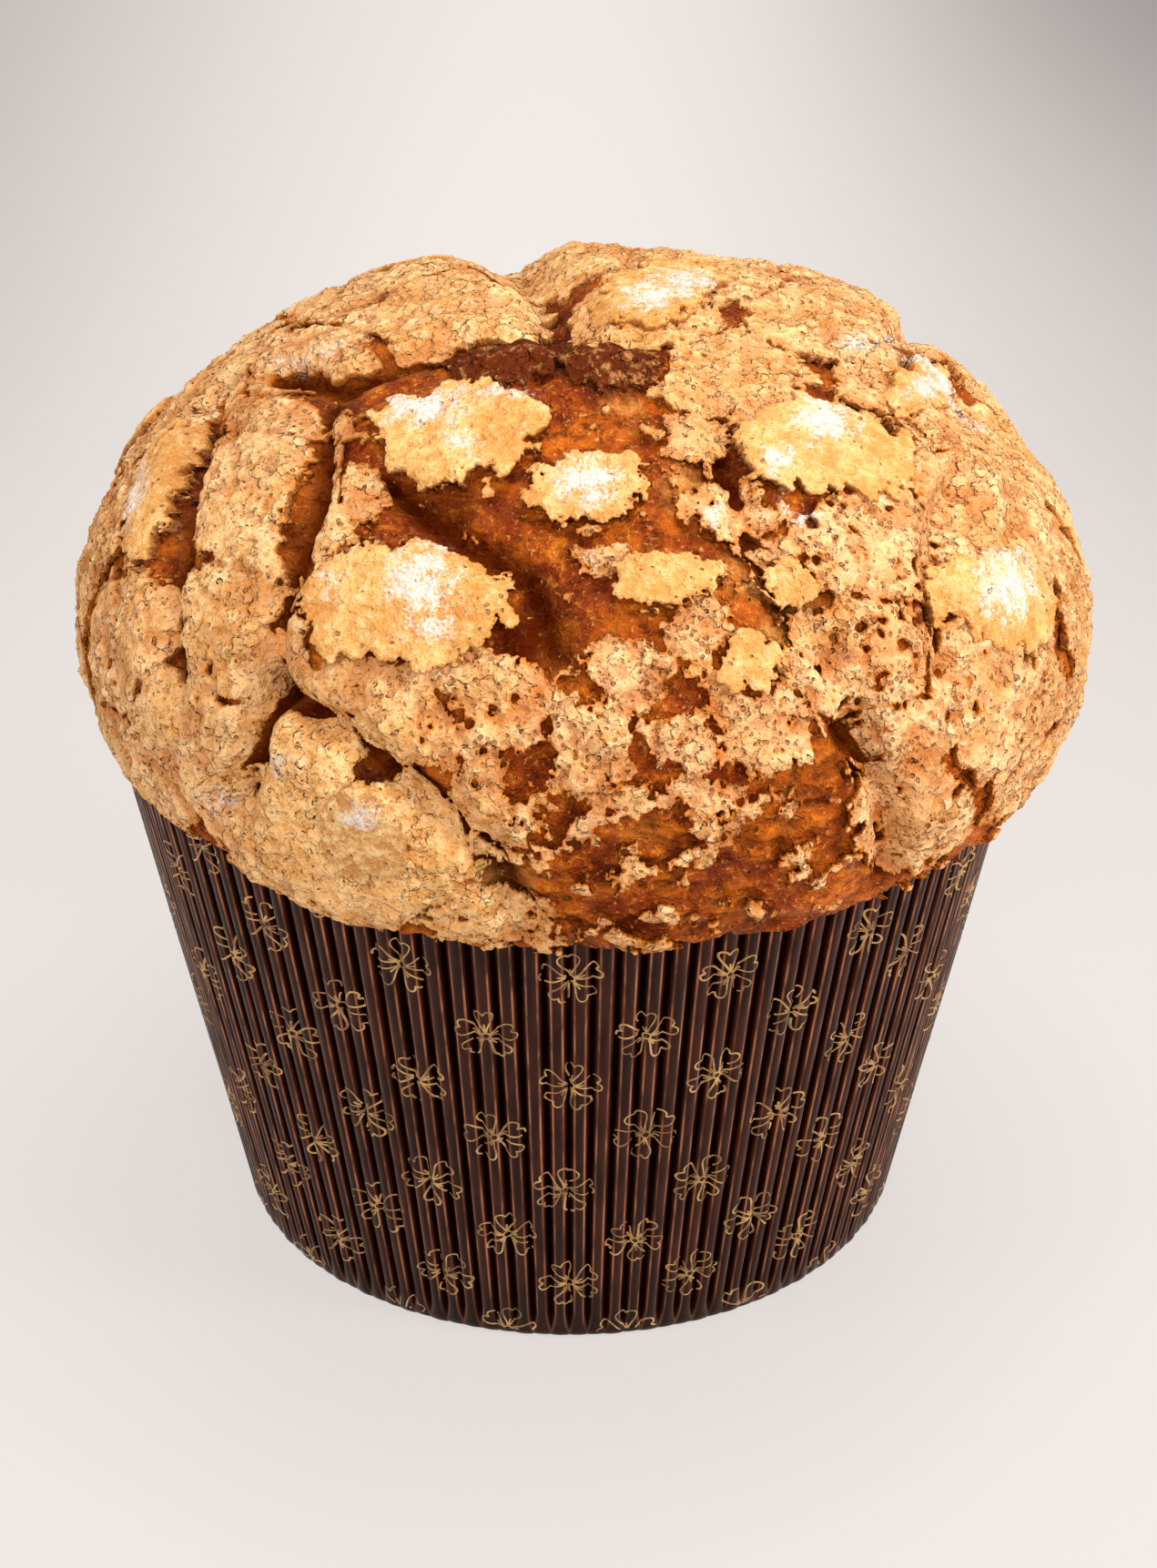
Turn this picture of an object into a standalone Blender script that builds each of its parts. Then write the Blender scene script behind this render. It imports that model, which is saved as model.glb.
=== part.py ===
"""A tall panettone with a cracked nut glaze, baked in its fluted paper case.

Two solids: the pleated paper case that stands on the table, and the cake inside it.
The cake is one body: a plug that fills the case, a mushroomed dome, and on the dome the
broken plates of glaze and the raised flakes, fused on as relief.
Sizes are in millimetres and degrees, and the model is built in metres, +Z up,
with the origin at the centre of the case's flat base.
"""

import math
import random

import bmesh
import bpy
import numpy as np
from mathutils import Vector, geometry, noise

MM = 0.001

# The paper case: a cup of corrugated paper that flares upwards.
CASE_HEIGHT = 100.0
CASE_BASE_RADIUS = 62.0
CASE_FLARE = 0.209            # growth of the radius for each millimetre of height
CASE_WALL = 2.0               # from a flute's crest to the smooth inner face
CASE_FLOOR = 1.2
FLUTE_COUNT = 120
FLUTE_PROFILE = (1.2, 0.25, 0.0, 0.25)   # depth below the crest at each quarter of a flute
GAP = 0.3                     # clearance between the cake and its case

# The cake's plug inside the case.
PLUG_EASE = 0.5               # the plug stays this much inside the clearance cut
PLUG_TOP = 107.0
PLUG_SIDES = 60
CLEARANCE_REACH = 30.0        # the clearance cut goes this far below the plug's top
TURN_MERGE = 0.00001          # metres

# The dome: two half ellipsoids that meet at its waist, seen from a heart inside it.
DOME_RADIUS = 88.6
DOME_RISE = 57.0              # from the waist to the top
DOME_FALL = 70.0              # the lower ellipsoid's height, cut off at the lip
WAIST_Z = 120.0
HEART = (1.9, 0.0, 110.0)     # the dome leans this far off the case's axis
LIP_Z = 92.5                  # the lower edge of the dome, hanging over the case
LIP_ROUND = 3.0
LIP_RISES = ((-152.0, 26.0, 8.0), (-78.0, 14.0, 1.5), (40.0, 30.0, 3.0), (130.0, 40.0, 4.0))
LIP_SIDES = 80                # points round the dome's lower edge
LIP_TILTS = (85.0, 105.0, 81) # where the lower edge is looked for, and in how many steps
LIP_INSET = 8.0               # the dome's flat underside starts this far in from its edge
DOME_SPACING = 7.0            # between the points of the bare dough
DOME_TILT = 100.0             # they go down to this tilt
POINT_SHARE = 0.87            # of a spacing's square, the area that each point has
FOLD_SPACING = 5.0            # between the points along a fold
FOLD_SHOULDER = 1.4           # half widths from a fold's line to the points beside it
POINT_ROOM = 3.0              # the least distance between two free points
CHART_MERGE = 1e-4            # points of the chart nearer than this become one

# Swellings of the dome: azimuth, tilt from the top, reach in degrees, height in mm.
SWELLS = (
    (120, 44, 15, -0.6),
    (76, 44, 16, -1.2),
    (38, 52, 13, 2.4),
    (0, 56, 12, -5.0),
    (-16, 88, 20, 2.0),
    (-160, 78, 20, 0.5),
    (172, 58, 18, -1.0),
    (-140, 56, 18, 1.5),
    (-112, 86, 16, 2.5),
    (-76, 92, 18, 2.5),
    (-105, 22, 8, 4.0),
    (-78, 24, 7, 3.0),
    (-95, 52, 14, -2.0),
    (-40, 90, 14, 1.0),
)

# Folds in the crust: depth and half width in mm, then the line as azimuth and tilt.
FOLDS = (
    (6.0, 3.4, ((-126, 74), (-127, 82), (-130, 89))),
    (4.0, 3.2, ((-126, 74), (-115, 76), (-106, 82), (-100, 86), (-96, 95))),
    (5.0, 3.2, ((-60, 77), (-56, 86), (-53, 96))),
    (3.0, 3.4, ((-60, 36), (-64, 46), (-66, 56), (-63, 66), (-58, 77))),
    (4.0, 3.6, ((12, 33), (-6, 37), (-18, 48), (-24, 58), (-30, 62))),
    (5.0, 3.6, ((-176, 52), (-160, 57), (-150, 63), (-145, 70), (-140, 77))),
    (4.0, 4.0, ((-170, 44), (-152, 38), (-140, 24), (-112, 17), (-96, 21), (-70, 20))),
    (3.0, 3.0, ((-146, 42), (-131, 52), (-128, 63), (-126, 74))),
    (3.0, 3.0, ((-30, 58), (-42, 64), (-46, 74))),
    (6.0, 7.0, ((-100, 14), (175, 5), (116, 20), (106, 45), (102, 66))),
    (3.5, 3.2, ((-122, 49), (-108, 54), (-97, 58), (-93, 66))),
    (5.0, 4.0, ((150, 45), (160, 60), (170, 80), (168, 96))),
    (4.0, 4.0, ((20, 50), (35, 62), (40, 78), (50, 96))),
    (4.0, 4.0, ((102, 66), (95, 78), (104, 97))),
)

# Plates of glaze: azimuth, tilt, long and short half width in mm, turn of the long axis.
PLATES = {
    "crown_left": (179, 21, 26, 19, 12),
    "brow_left": (-170, 39, 18, 11, 49),
    "shelf_left": (-151, 46, 20, 5, 18),
    "cheek_left": (-138, 55, 22, 14, -13),
    "cheek_low": (-133, 70, 17, 13, 11),
    "edge_left": (-152, 78, 16, 13, 51),
    "low_left": (-138, 83, 20, 13, 35),
    "front_left": (-111, 73, 17, 8, -6),
    "lobe_top": (-119, 79, 10, 9, 12),
    "lobe_left": (-125, 88, 17, 12, 37),
    "lobe_front": (-109, 88, 15, 13, 56),
    "hem_left": (-101, 96, 11, 6, 15),
    "inlet": (-100, 82, 10, 5, 85),
    "island_left": (-100, 71, 11, 8, 1),
    "island_middle": (-89, 75, 9, 7, 89),
    "island_high": (-85, 67, 7, 5, 1),
    "island_side": (-76, 64, 7, 6, 71),
    "island_right": (-70, 75, 10, 8, -10),
    "island_low": (-79, 75, 6, 5, 86),
    "islet_low": (-74, 82, 9, 3, -10),
    "side_middle": (-57, 70, 15, 11, -7),
    "side_upper": (-47, 59, 18, 11, -6),
    "side_right": (-22, 62, 28, 17, 2),
    "low_right": (-37, 81, 23, 14, -30),
    "hem_right": (-51, 90, 17, 10, -41),
    "crown_front": (-47, 31, 16, 11, 7),
    "crown_top": (-25, 11, 20, 13, 13),
    "crown_right": (12, 36, 27, 12, -30),
    "shoulder": (-10, 43, 18, 7, -9),
    "flank_right": (-9, 54, 20, 11, -11),
    "patch_high": (-66, 39, 8, 6, 28),
    "patch_middle": (-67, 51, 8, 6, 4),
    "patch_side": (-62, 57, 5, 3, -12),
    "bead_left": (-125, 51, 7, 4, -48),
    "patch_low": (-87, 55, 5, 3, -2),
    "ember_left": (-122, 24, 15, 9, 5),
    "ember_right": (-80, 25, 11, 7, -5),
    "rim_right": (3, 73, 27, 16, 86),
    "hem_side": (-12, 88, 20, 13, 10),
    "rim_left": (-171, 72, 22, 14, 85),
    "hem_far": (-150, 92, 20, 12, 10),
    "hem_lobe": (-121, 96, 18, 11, 5),
    "side_low": (-16, 77, 16, 11, 80),
    "hem_mid": (-28, 93, 18, 9, -5),
    "side_gap": (-52, 79, 12, 6, -20),
}

# Raised pale flakes that lie on the glaze or the bare dough, given the same way.
FLAKES = {
    "flake_high": (-114, 39, 15, 11, 9),
    "flake_centre": (-89, 46, 11, 7, -2),
    "flake_large": (-112, 62, 18, 11, 8),
    "flake_middle": (-79, 58, 9, 5, -3),
    "flake_shoulder": (-44, 46, 17, 11, -13),
    "flake_right": (-34, 70, 17, 9, -25),
    "flake_small": (-63, 61, 5, 4, 3),
    "flake_low": (-71, 68, 6, 5, -2),
    "flake_edge": (-162, 62, 17, 6, -33),
    "flake_crown": (-4, 11, 19, 9, -20),
    "flake_flank": (-2, 50, 17, 5, -20),
    "flake_lobe": (-112, 86, 10, 8, 66),
    "flake_back": (118, 48, 17, 10, 20),
    "flake_rear": (74, 74, 15, 9, -30),
    "flake_far": (165, 70, 13, 9, 60),
}

# Plates on the far side, spread by a rule.
BACK_SEED = 12
BACK_TRIES = 900              # most of them fall too near another plate
BACK_AZIMUTH = (0.0, 198.0)
BACK_TILT = (18.0, 93.0)
BACK_HALF = (19.0, 26.0)
BACK_WIDTH = (0.7, 0.95)      # share of the long half width
BACK_TURN = (-50.0, 50.0)
BACK_SPACING = 17.5           # degrees between plates

SEED_STEP = 7.3               # between the noise seeds of a layer's plates
CRACK = 0.10                  # share of a plate's width lost to the crack round it
GLAZE_THICKNESS = 1.5
FLAKE_THICKNESS = 2.8
WALL_RUN = 0.9                # how far in from a plate's outline its second ring of points lies
WALL_SHARE = 0.7              # share of that run in which the plate reaches its full height
SHRUNK_LEAST = 0.3            # the second ring keeps at least this share of the plate
OUTLINE_SPACING = 4.8         # millimetres of outline for each point
OUTLINE_LEAST = 9             # points
SPOKES = (0.04, 1.5, 0.04)    # start, end and step of the search from a plate's centre
RIM_SHARE = 0.985             # how near the dome's lower edge a plate may come
RIVAL_REACH = 40.0            # degrees within which plates can meet
RAGGED = 0.22                 # share of a plate's width that its outline wanders
RAGGED_SCALE = 0.23           # per millimetre

BAKED_CRUST = (0.50, 0.22, 0.075, 1.0)
BAKED_CRUST_ROUGHNESS = 0.55
CAKE_SHARP = 40.0             # edges bent more than this many degrees stay sharp
CASE_PAPER = (0.075, 0.033, 0.026, 1.0)
CASE_PAPER_ROUGHNESS = 0.6
CASE_SHARP = 50.0


def unit(azimuth, tilt):
    """The direction at an azimuth from +X and a tilt from straight up, in degrees."""
    a, t = math.radians(azimuth), math.radians(tilt)
    return np.array((math.sin(t) * math.cos(a), math.sin(t) * math.sin(a), math.cos(t)))


def degrees_apart(d, axis):
    return np.degrees(np.arccos(np.clip(d @ axis, -1.0, 1.0)))


def ellipsoid_reach(d, height):
    """How far from the heart each direction leaves an ellipsoid of this half height."""
    drop = WAIST_Z - HEART[2]
    a = (d[:, 0] ** 2 + d[:, 1] ** 2) / DOME_RADIUS ** 2 + d[:, 2] ** 2 / height ** 2
    b = -d[:, 2] * drop / height ** 2
    c = drop ** 2 / height ** 2 - 1.0
    return (-b + np.sqrt(b * b - a * c)) / a


def lip_height(azimuth):
    z = np.full(azimuth.shape, LIP_Z)
    for centre, reach, rise in LIP_RISES:
        away = (azimuth - centre + 180.0) % 360.0 - 180.0
        z += rise * np.exp(-(away / reach) ** 2)
    return z


def line_distance(d, line):
    """Degrees from each direction to the nearest point of a line of azimuths and tilts."""
    corners = [unit(*corner) for corner in line]
    best = np.full(len(d), 1e9)
    for start, end in zip(corners, corners[1:]):
        along = end - start
        share = np.clip((d - start) @ along / (along @ along), 0.0, 1.0)
        best = np.minimum(best, np.linalg.norm(d - start - share[:, None] * along, axis=1))
    return np.degrees(best)


def dough_reach(d):
    """Distance from the heart to the bare dough, in mm, for an array of directions."""
    upper = ellipsoid_reach(d, DOME_RISE)
    lower = ellipsoid_reach(d, DOME_FALL)
    above = HEART[2] + upper * d[:, 2] > WAIST_Z
    reach = np.where(above, upper, lower)
    for azimuth, tilt, width, rise in SWELLS:
        reach = reach + rise * np.exp(-(degrees_apart(d, unit(azimuth, tilt)) / width) ** 2)
    per_degree = math.radians(1.0) * reach
    for depth, half_width, line in FOLDS:
        away = line_distance(d, line) * per_degree
        reach = reach - depth * np.exp(-(away / half_width) ** 2)
    azimuth = np.degrees(np.arctan2(d[:, 1], d[:, 0]))
    floor = (HEART[2] - lip_height(azimuth)) / np.maximum(-d[:, 2], 1e-3)
    blend = np.clip(0.5 + 0.5 * (floor - reach) / LIP_ROUND, 0.0, 1.0)
    return floor + (reach - floor) * blend - LIP_ROUND * blend * (1.0 - blend)


def tangents(d):
    """The level and the upward tangent at a direction."""
    level = np.array((-d[1], d[0], 0.0))
    level /= np.linalg.norm(level)
    return level, np.cross(d, level)


def plate_frame(plate):
    """Centre direction of a plate, and its long and short half axes as parts of the reach."""
    azimuth, tilt, long_half, short_half, turn = plate
    centre = unit(azimuth, tilt)
    level, up = tangents(centre)
    t = math.radians(turn)
    reach = dough_reach(centre[None, :])[0]
    long_axis = (math.cos(t) * level + math.sin(t) * up) * long_half / reach
    short_axis = (math.cos(t) * up - math.sin(t) * level) * short_half / reach
    return centre, long_axis, short_axis


def cover(d, frame):
    """One at a plate's centre, zero at its edge, below zero outside it."""
    centre, long_axis, short_axis = frame
    off = d - centre
    along = off @ long_axis / (long_axis @ long_axis)
    across = off @ short_axis / (short_axis @ short_axis)
    return 1.0 - np.hypot(along, across)


def wander(d, scale, seed):
    """Smooth noise between about -1 and 1 at each direction."""
    size = DOME_RADIUS * scale
    return np.array([noise.noise((v[0] * size + seed, v[1] * size, v[2] * size)) for v in d])


def outline(plate, rivals, seed):
    """Directions round a plate's edge, found by walking out from its centre along spokes."""
    centre, long_axis, short_axis = plate_frame(plate)
    count = max(OUTLINE_LEAST, round(math.pi * (plate[2] + plate[3]) / OUTLINE_SPACING))
    angles = np.arange(count) * math.tau / count
    spokes = np.cos(angles)[:, None] * long_axis + np.sin(angles)[:, None] * short_axis
    steps = np.arange(*SPOKES)
    d = unit_rows((centre + steps[None, :, None] * spokes[:, None, :]).reshape(-1, 3))
    own = cover(d, (centre, long_axis, short_axis))
    room = own
    for rival in rivals:
        if rival[0] @ centre < math.cos(math.radians(RIVAL_REACH)):
            continue
        theirs = cover(d, rival)
        room = np.where(theirs > 0.0, np.minimum(room, own - theirs - CRACK), room)
    room = room + RAGGED * wander(d, RAGGED_SCALE, seed)
    inside = (room > 0.0).reshape(count, -1)
    edge = steps[np.argmin(inside, axis=1)]
    return unit_rows(centre + spokes * edge[:, None])


def unit_rows(d):
    return d / np.linalg.norm(d, axis=-1)[:, None]


def place(d, lift):
    """Points at these directions, lifted off the dough by so many mm, in metres."""
    return (np.array(HEART) + d * (dough_reach(d) + lift)[:, None]) * MM


def to_chart(d):
    """A direction's place on a flat chart that keeps angles: the top is at its centre."""
    return d[:, :2] / (1.0 + d[:, 2:3])


def from_chart(p):
    square = (p ** 2).sum(axis=1)[:, None]
    return np.hstack((2.0 * p, 1.0 - square)) / (1.0 + square)


def chart_scale(p):
    """Millimetres on the dome for each unit of the chart."""
    return 2.0 * dough_reach(from_chart(p)) / (1.0 + (p ** 2).sum(axis=1))


def polygon_depth(points, polygon):
    """How far each point lies inside a polygon, in chart units: below zero outside it."""
    nearest = np.full(len(points), 1e9)
    inside = np.zeros(len(points), bool)
    for start, end in zip(polygon, np.roll(polygon, -1, axis=0)):
        along = end - start
        share = np.clip((points - start) @ along / (along @ along), 0.0, 1.0)
        off = points - start - share[:, None] * along
        nearest = np.minimum(nearest, np.hypot(off[:, 0], off[:, 1]))
        crosses = (start[1] > points[:, 1]) != (end[1] > points[:, 1])
        rise = along[1] if along[1] else 1e-12
        inside ^= crosses & (points[:, 0] < start[0] + along[0] * (points[:, 1] - start[1]) / rise)
    return np.where(inside, nearest, -nearest)


def lip_ring():
    """Directions of the dome's lower edge, where its side meets its underside."""
    azimuths = np.arange(LIP_SIDES) * 360.0 / LIP_SIDES
    tilts = np.linspace(*LIP_TILTS)
    ring = []
    for azimuth in azimuths:
        d = np.array([unit(azimuth, tilt) for tilt in tilts])
        side = ellipsoid_reach(d, DOME_FALL)
        floor = (HEART[2] - lip_height(np.full(len(d), azimuth))) / np.maximum(-d[:, 2], 1e-3)
        ring.append(d[np.argmax(floor < side)])
    return np.array(ring)


def fold_points():
    """Points along each fold and on both its shoulders."""
    found = []
    for depth, half_width, line in FOLDS:
        corners = [unit(*corner) for corner in line]
        for start, end in zip(corners, corners[1:]):
            pieces = max(1, round(np.linalg.norm(end - start) * DOME_RADIUS / FOLD_SPACING))
            side = np.cross(start, end)
            side *= FOLD_SHOULDER * half_width / (DOME_RADIUS * np.linalg.norm(side))
            for i in range(pieces):
                middle = start + (end - start) * (i + 0.5) / pieces
                found += [middle, middle + side, middle - side]
    return unit_rows(np.array(found))


def even_points():
    """Directions spread evenly over the dome along a spiral."""
    low = math.cos(math.radians(DOME_TILT))
    area = math.tau * (1.0 - low) * DOME_RADIUS ** 2
    count = round(area / (POINT_SHARE * DOME_SPACING ** 2))
    index = np.arange(count) + 0.5
    z = 1.0 - (1.0 - low) * index / count
    azimuth = index * math.pi * (3.0 - math.sqrt(5.0))
    radius = np.sqrt(1.0 - z * z)
    return np.stack((radius * np.cos(azimuth), radius * np.sin(azimuth), z), axis=1)


def add_object(name, tool, collection):
    """Turns mesh data into an object, its faces turned outwards."""
    bmesh.ops.recalc_face_normals(tool, faces=tool.faces[:])
    mesh = bpy.data.meshes.new(name)
    tool.to_mesh(mesh)
    tool.free()
    obj = bpy.data.objects.new(name, mesh)
    collection.objects.link(obj)
    return obj


def plate_outlines(lip):
    """(polygon on the chart, thickness) of every plate and flake, kept inside the lip."""
    lip_chart = to_chart(lip)
    rim_angles = np.arctan2(lip_chart[:, 1], lip_chart[:, 0])
    order = np.argsort(rim_angles)
    rim_radii = np.hypot(lip_chart[order, 0], lip_chart[order, 1])
    rim_angles = rim_angles[order]
    found = []
    for layer, thickness in (({**PLATES, **back_plates()}, GLAZE_THICKNESS),
                             (FLAKES, FLAKE_THICKNESS)):
        frames = {name: plate_frame(plate) for name, plate in layer.items()}
        for number, (name, plate) in enumerate(layer.items()):
            rivals = [frame for other, frame in frames.items() if other != name]
            polygon = to_chart(outline(plate, rivals, number * SEED_STEP + thickness))
            radius = np.hypot(polygon[:, 0], polygon[:, 1])
            angle = np.arctan2(polygon[:, 1], polygon[:, 0])
            most = RIM_SHARE * np.interp(angle, rim_angles, rim_radii, period=math.tau)
            polygon *= np.minimum(1.0, most / radius)[:, None]
            found.append((polygon, thickness))
    return found


def shrunk(polygon, distance):
    """The polygon drawn in towards its middle by about this distance."""
    middle = polygon.mean(axis=0)
    radius = np.hypot(*(polygon - middle).T)[:, None]
    return middle + (polygon - middle) * np.maximum(SHRUNK_LEAST, 1.0 - distance / radius)


def add_dome(collection):
    """The dome's skin, triangulated on the chart along every plate's edge, over a flat base."""
    lip = lip_ring()
    plates = plate_outlines(lip)
    points, edges = [], []

    def add_ring(polygon):
        first = len(points)
        points.extend(polygon)
        count = len(polygon)
        edges.extend((first + i, first + (i + 1) % count) for i in range(count))

    add_ring(to_chart(lip))
    for polygon, _ in plates:
        scale = chart_scale(polygon.mean(axis=0)[None, :])[0]
        add_ring(polygon)
        add_ring(shrunk(polygon, WALL_RUN / scale))
    for d in np.vstack((fold_points(), even_points())):
        p = to_chart(d[None, :])
        room = np.linalg.norm(np.array(points) - p, axis=1).min() * chart_scale(p)[0]
        if room > POINT_ROOM and polygon_depth(p, to_chart(lip))[0] > 0.0:
            points.append(p[0])
    result = geometry.delaunay_2d_cdt([Vector(p) for p in points], edges, [], 0, CHART_MERGE)
    chart = np.array([v[:] for v in result[0]])
    faces = [tuple(f) for f in result[2]]
    lift = np.zeros(len(chart))
    scale = chart_scale(chart)
    for polygon, thickness in plates:
        depth = polygon_depth(chart, polygon) * scale / WALL_RUN
        lift = np.maximum(lift, thickness * np.clip(depth / WALL_SHARE, 0.0, 1.0))
    skin = place(from_chart(chart), lift)
    middles = np.array([chart[list(f)].mean(axis=0) for f in faces])
    within = polygon_depth(middles, to_chart(lip)) > 0.0
    faces = [f for f, keep in zip(faces, within) if keep]
    return close_dome(skin, faces, collection)


def close_dome(skin, faces, collection):
    """Closes the skin below its open edge with a ring set in under the lip, and a cap."""
    tool = bmesh.new()
    vertices = [tool.verts.new(p) for p in skin]
    for face in faces:
        tool.faces.new([vertices[i] for i in face])
    bmesh.ops.delete(tool, geom=[v for v in tool.verts if not v.link_faces], context="VERTS")
    border = [e for e in tool.edges if e.is_boundary]
    made = bmesh.ops.extrude_edge_only(tool, edges=border)["geom"]
    ring = [v for v in made if isinstance(v, bmesh.types.BMVert)]
    for vertex in ring:
        out = math.hypot(vertex.co.x, vertex.co.y)
        share = 1.0 - LIP_INSET * MM / out
        vertex.co.x *= share
        vertex.co.y *= share
    cap = [e for e in made if isinstance(e, bmesh.types.BMEdge) and e.is_boundary]
    bmesh.ops.holes_fill(tool, edges=cap, sides=0)
    bmesh.ops.triangulate(tool, faces=tool.faces[:])
    return add_object("cake", tool, collection)


def back_plates():
    """Plates for the far side, none of them near another."""
    draw = random.Random(BACK_SEED)
    taken = [unit(p[0], p[1]) for p in PLATES.values()]
    high, low = (math.cos(math.radians(tilt)) for tilt in BACK_TILT)
    found = {}
    for i in range(BACK_TRIES):
        azimuth = draw.uniform(*BACK_AZIMUTH)
        tilt = math.degrees(math.acos(draw.uniform(low, high)))
        half = draw.uniform(*BACK_HALF)
        plate = (azimuth, tilt, half, half * draw.uniform(*BACK_WIDTH), draw.uniform(*BACK_TURN))
        centre = unit(azimuth, tilt)
        if min(degrees_apart(np.array(taken), centre)) > BACK_SPACING:
            taken.append(centre)
            found[f"back_{i}"] = plate
    return found


def turned(name, profile, sides, collection):
    """A closed ring or a solid of revolution from (radius, height) pairs, in mm."""
    mesh = bpy.data.meshes.new(name)
    points = [(radius * MM, 0.0, z * MM) for radius, z in profile]
    closed = profile[0][0] > 0.0
    edges = [(i, i + 1) for i in range(len(points) - 1)]
    if closed:
        edges.append((len(points) - 1, 0))
    mesh.from_pydata(points, edges, [])
    obj = bpy.data.objects.new(name, mesh)
    collection.objects.link(obj)
    screw = obj.modifiers.new("Turn", "SCREW")
    screw.steps = screw.render_steps = sides
    screw.use_merge_vertices = True
    screw.merge_threshold = TURN_MERGE
    screw.use_normal_calculate = True
    return obj


def settle(obj):
    """Replaces an object's mesh by its evaluated one."""
    bpy.context.view_layer.update()
    depsgraph = bpy.context.evaluated_depsgraph_get()
    mesh = bpy.data.meshes.new_from_object(obj.evaluated_get(depsgraph))
    tool = bmesh.new()
    tool.from_mesh(mesh)
    bmesh.ops.recalc_face_normals(tool, faces=tool.faces[:])
    tool.to_mesh(mesh)
    tool.free()
    obj.modifiers.clear()
    obj.data = mesh
    return obj


def crest_radius(z):
    return CASE_BASE_RADIUS + CASE_FLARE * z


def inner_radius(z):
    return crest_radius(z) - CASE_WALL


def add_plug(collection):
    """The crumb inside the case, up into the dome."""
    low = CASE_FLOOR + GAP
    profile = (
        (0.0, PLUG_TOP),
        (inner_radius(PLUG_TOP) - GAP - PLUG_EASE, PLUG_TOP),
        (inner_radius(low) - GAP - PLUG_EASE, low),
        (0.0, low),
    )
    return settle(turned("plug", profile, PLUG_SIDES, collection))


def add_clearance(collection):
    """The ring of space that the case's wall takes, with the gap round it."""
    top, below = CASE_HEIGHT + GAP, PLUG_TOP - CLEARANCE_REACH
    profile = (
        (crest_radius(top) + GAP, top),
        (crest_radius(below) + GAP, below),
        (inner_radius(below) - GAP, below),
        (inner_radius(top) - GAP, top),
    )
    return settle(turned("case_clearance", profile, FLUTE_COUNT, collection))


def boolean(obj, operation, operand):
    """Joins or cuts a closed body with another, then removes the other."""
    step = obj.modifiers.new("Join", "BOOLEAN")
    step.operation = operation
    step.solver = "MANIFOLD"
    step.object = operand
    settle(obj)
    bpy.data.objects.remove(operand)


def drop_scraps(obj):
    """Keeps only the largest connected body of a mesh."""
    tool = bmesh.new()
    tool.from_mesh(obj.data)
    left, bodies = set(tool.verts), []
    while left:
        stack = [left.pop()]
        body = set(stack)
        while stack:
            for edge in stack.pop().link_edges:
                for vertex in edge.verts:
                    if vertex in left:
                        left.discard(vertex)
                        body.add(vertex)
                        stack.append(vertex)
        bodies.append(body)
    bodies.sort(key=len)
    for body in bodies[:-1]:
        bmesh.ops.delete(tool, geom=list(body), context="VERTS")
    tool.to_mesh(obj.data)
    tool.free()


def principled(name, colour, roughness):
    material = bpy.data.materials.new(name)
    material.use_nodes = True
    shader = material.node_tree.nodes["Principled BSDF"]
    shader.inputs["Base Color"].default_value = colour
    shader.inputs["Roughness"].default_value = roughness
    shader.inputs["Metallic"].default_value = 0.0
    return material


def build_cake(parts):
    """The dome joined to its plug, with room cut for the case's wall."""
    cake = add_dome(parts)
    boolean(cake, "UNION", add_plug(parts))
    boolean(cake, "DIFFERENCE", add_clearance(parts))
    drop_scraps(cake)
    cake.data.shade_smooth()
    cake.data.set_sharp_from_angle(angle=math.radians(CAKE_SHARP))
    cake.data.materials.clear()
    cake.data.materials.append(principled("baked_crust", BAKED_CRUST, BAKED_CRUST_ROUGHNESS))
    return cake


def build_case(parts):
    """The pleated cup: fluted outside, smooth inside, with a flat floor."""
    tool = bmesh.new()
    quarters = len(FLUTE_PROFILE)
    count = FLUTE_COUNT * quarters

    def fluted_ring(z):
        ring = []
        for i in range(count):
            angle = math.tau * i / count
            radius = (crest_radius(z) - FLUTE_PROFILE[i % quarters]) * MM
            ring.append(tool.verts.new((radius * math.cos(angle), radius * math.sin(angle), z * MM)))
        return ring

    def smooth_ring(z):
        ring = []
        for i in range(FLUTE_COUNT):
            angle = math.tau * i / FLUTE_COUNT
            radius = inner_radius(z) * MM
            ring.append(tool.verts.new((radius * math.cos(angle), radius * math.sin(angle), z * MM)))
        return ring

    low, high = fluted_ring(0.0), fluted_ring(CASE_HEIGHT)
    floor, rim = smooth_ring(CASE_FLOOR), smooth_ring(CASE_HEIGHT)
    for i in range(count):
        j = (i + 1) % count
        tool.faces.new((low[i], low[j], high[j], high[i]))
    for i in range(FLUTE_COUNT):
        j = (i + 1) % FLUTE_COUNT
        crests = [high[(i * quarters + k) % count] for k in range(quarters + 1)]
        tool.faces.new([*crests, rim[j], rim[i]])
        tool.faces.new((floor[i], rim[i], rim[j], floor[j]))
    tool.faces.new(low[::-1])
    tool.faces.new(floor)
    bmesh.ops.triangulate(tool, faces=tool.faces[:])
    case = add_object("paper_case", tool, parts)
    case.data.shade_smooth()
    case.data.set_sharp_from_angle(angle=math.radians(CASE_SHARP))
    case.data.materials.append(principled("case_paper", CASE_PAPER, CASE_PAPER_ROUGHNESS))
    return case


def main():
    for obj in list(bpy.data.objects):
        bpy.data.objects.remove(obj)
    parts = bpy.data.collections.new("panettone")
    bpy.context.scene.collection.children.link(parts)
    build_case(parts)
    build_cake(parts)


main()
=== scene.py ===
"""The looks of a tall panettone in its fluted paper case.

The form follows the same named sizes as the solids: a dough dome with swellings and folds,
plates of glaze over it, raised flakes over those, and a pleated case with printed blossoms.
Sizes are in millimetres and degrees unless a name says otherwise.
"""
import math
import random

import bpy
import numpy as np
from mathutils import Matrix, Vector, noise


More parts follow.
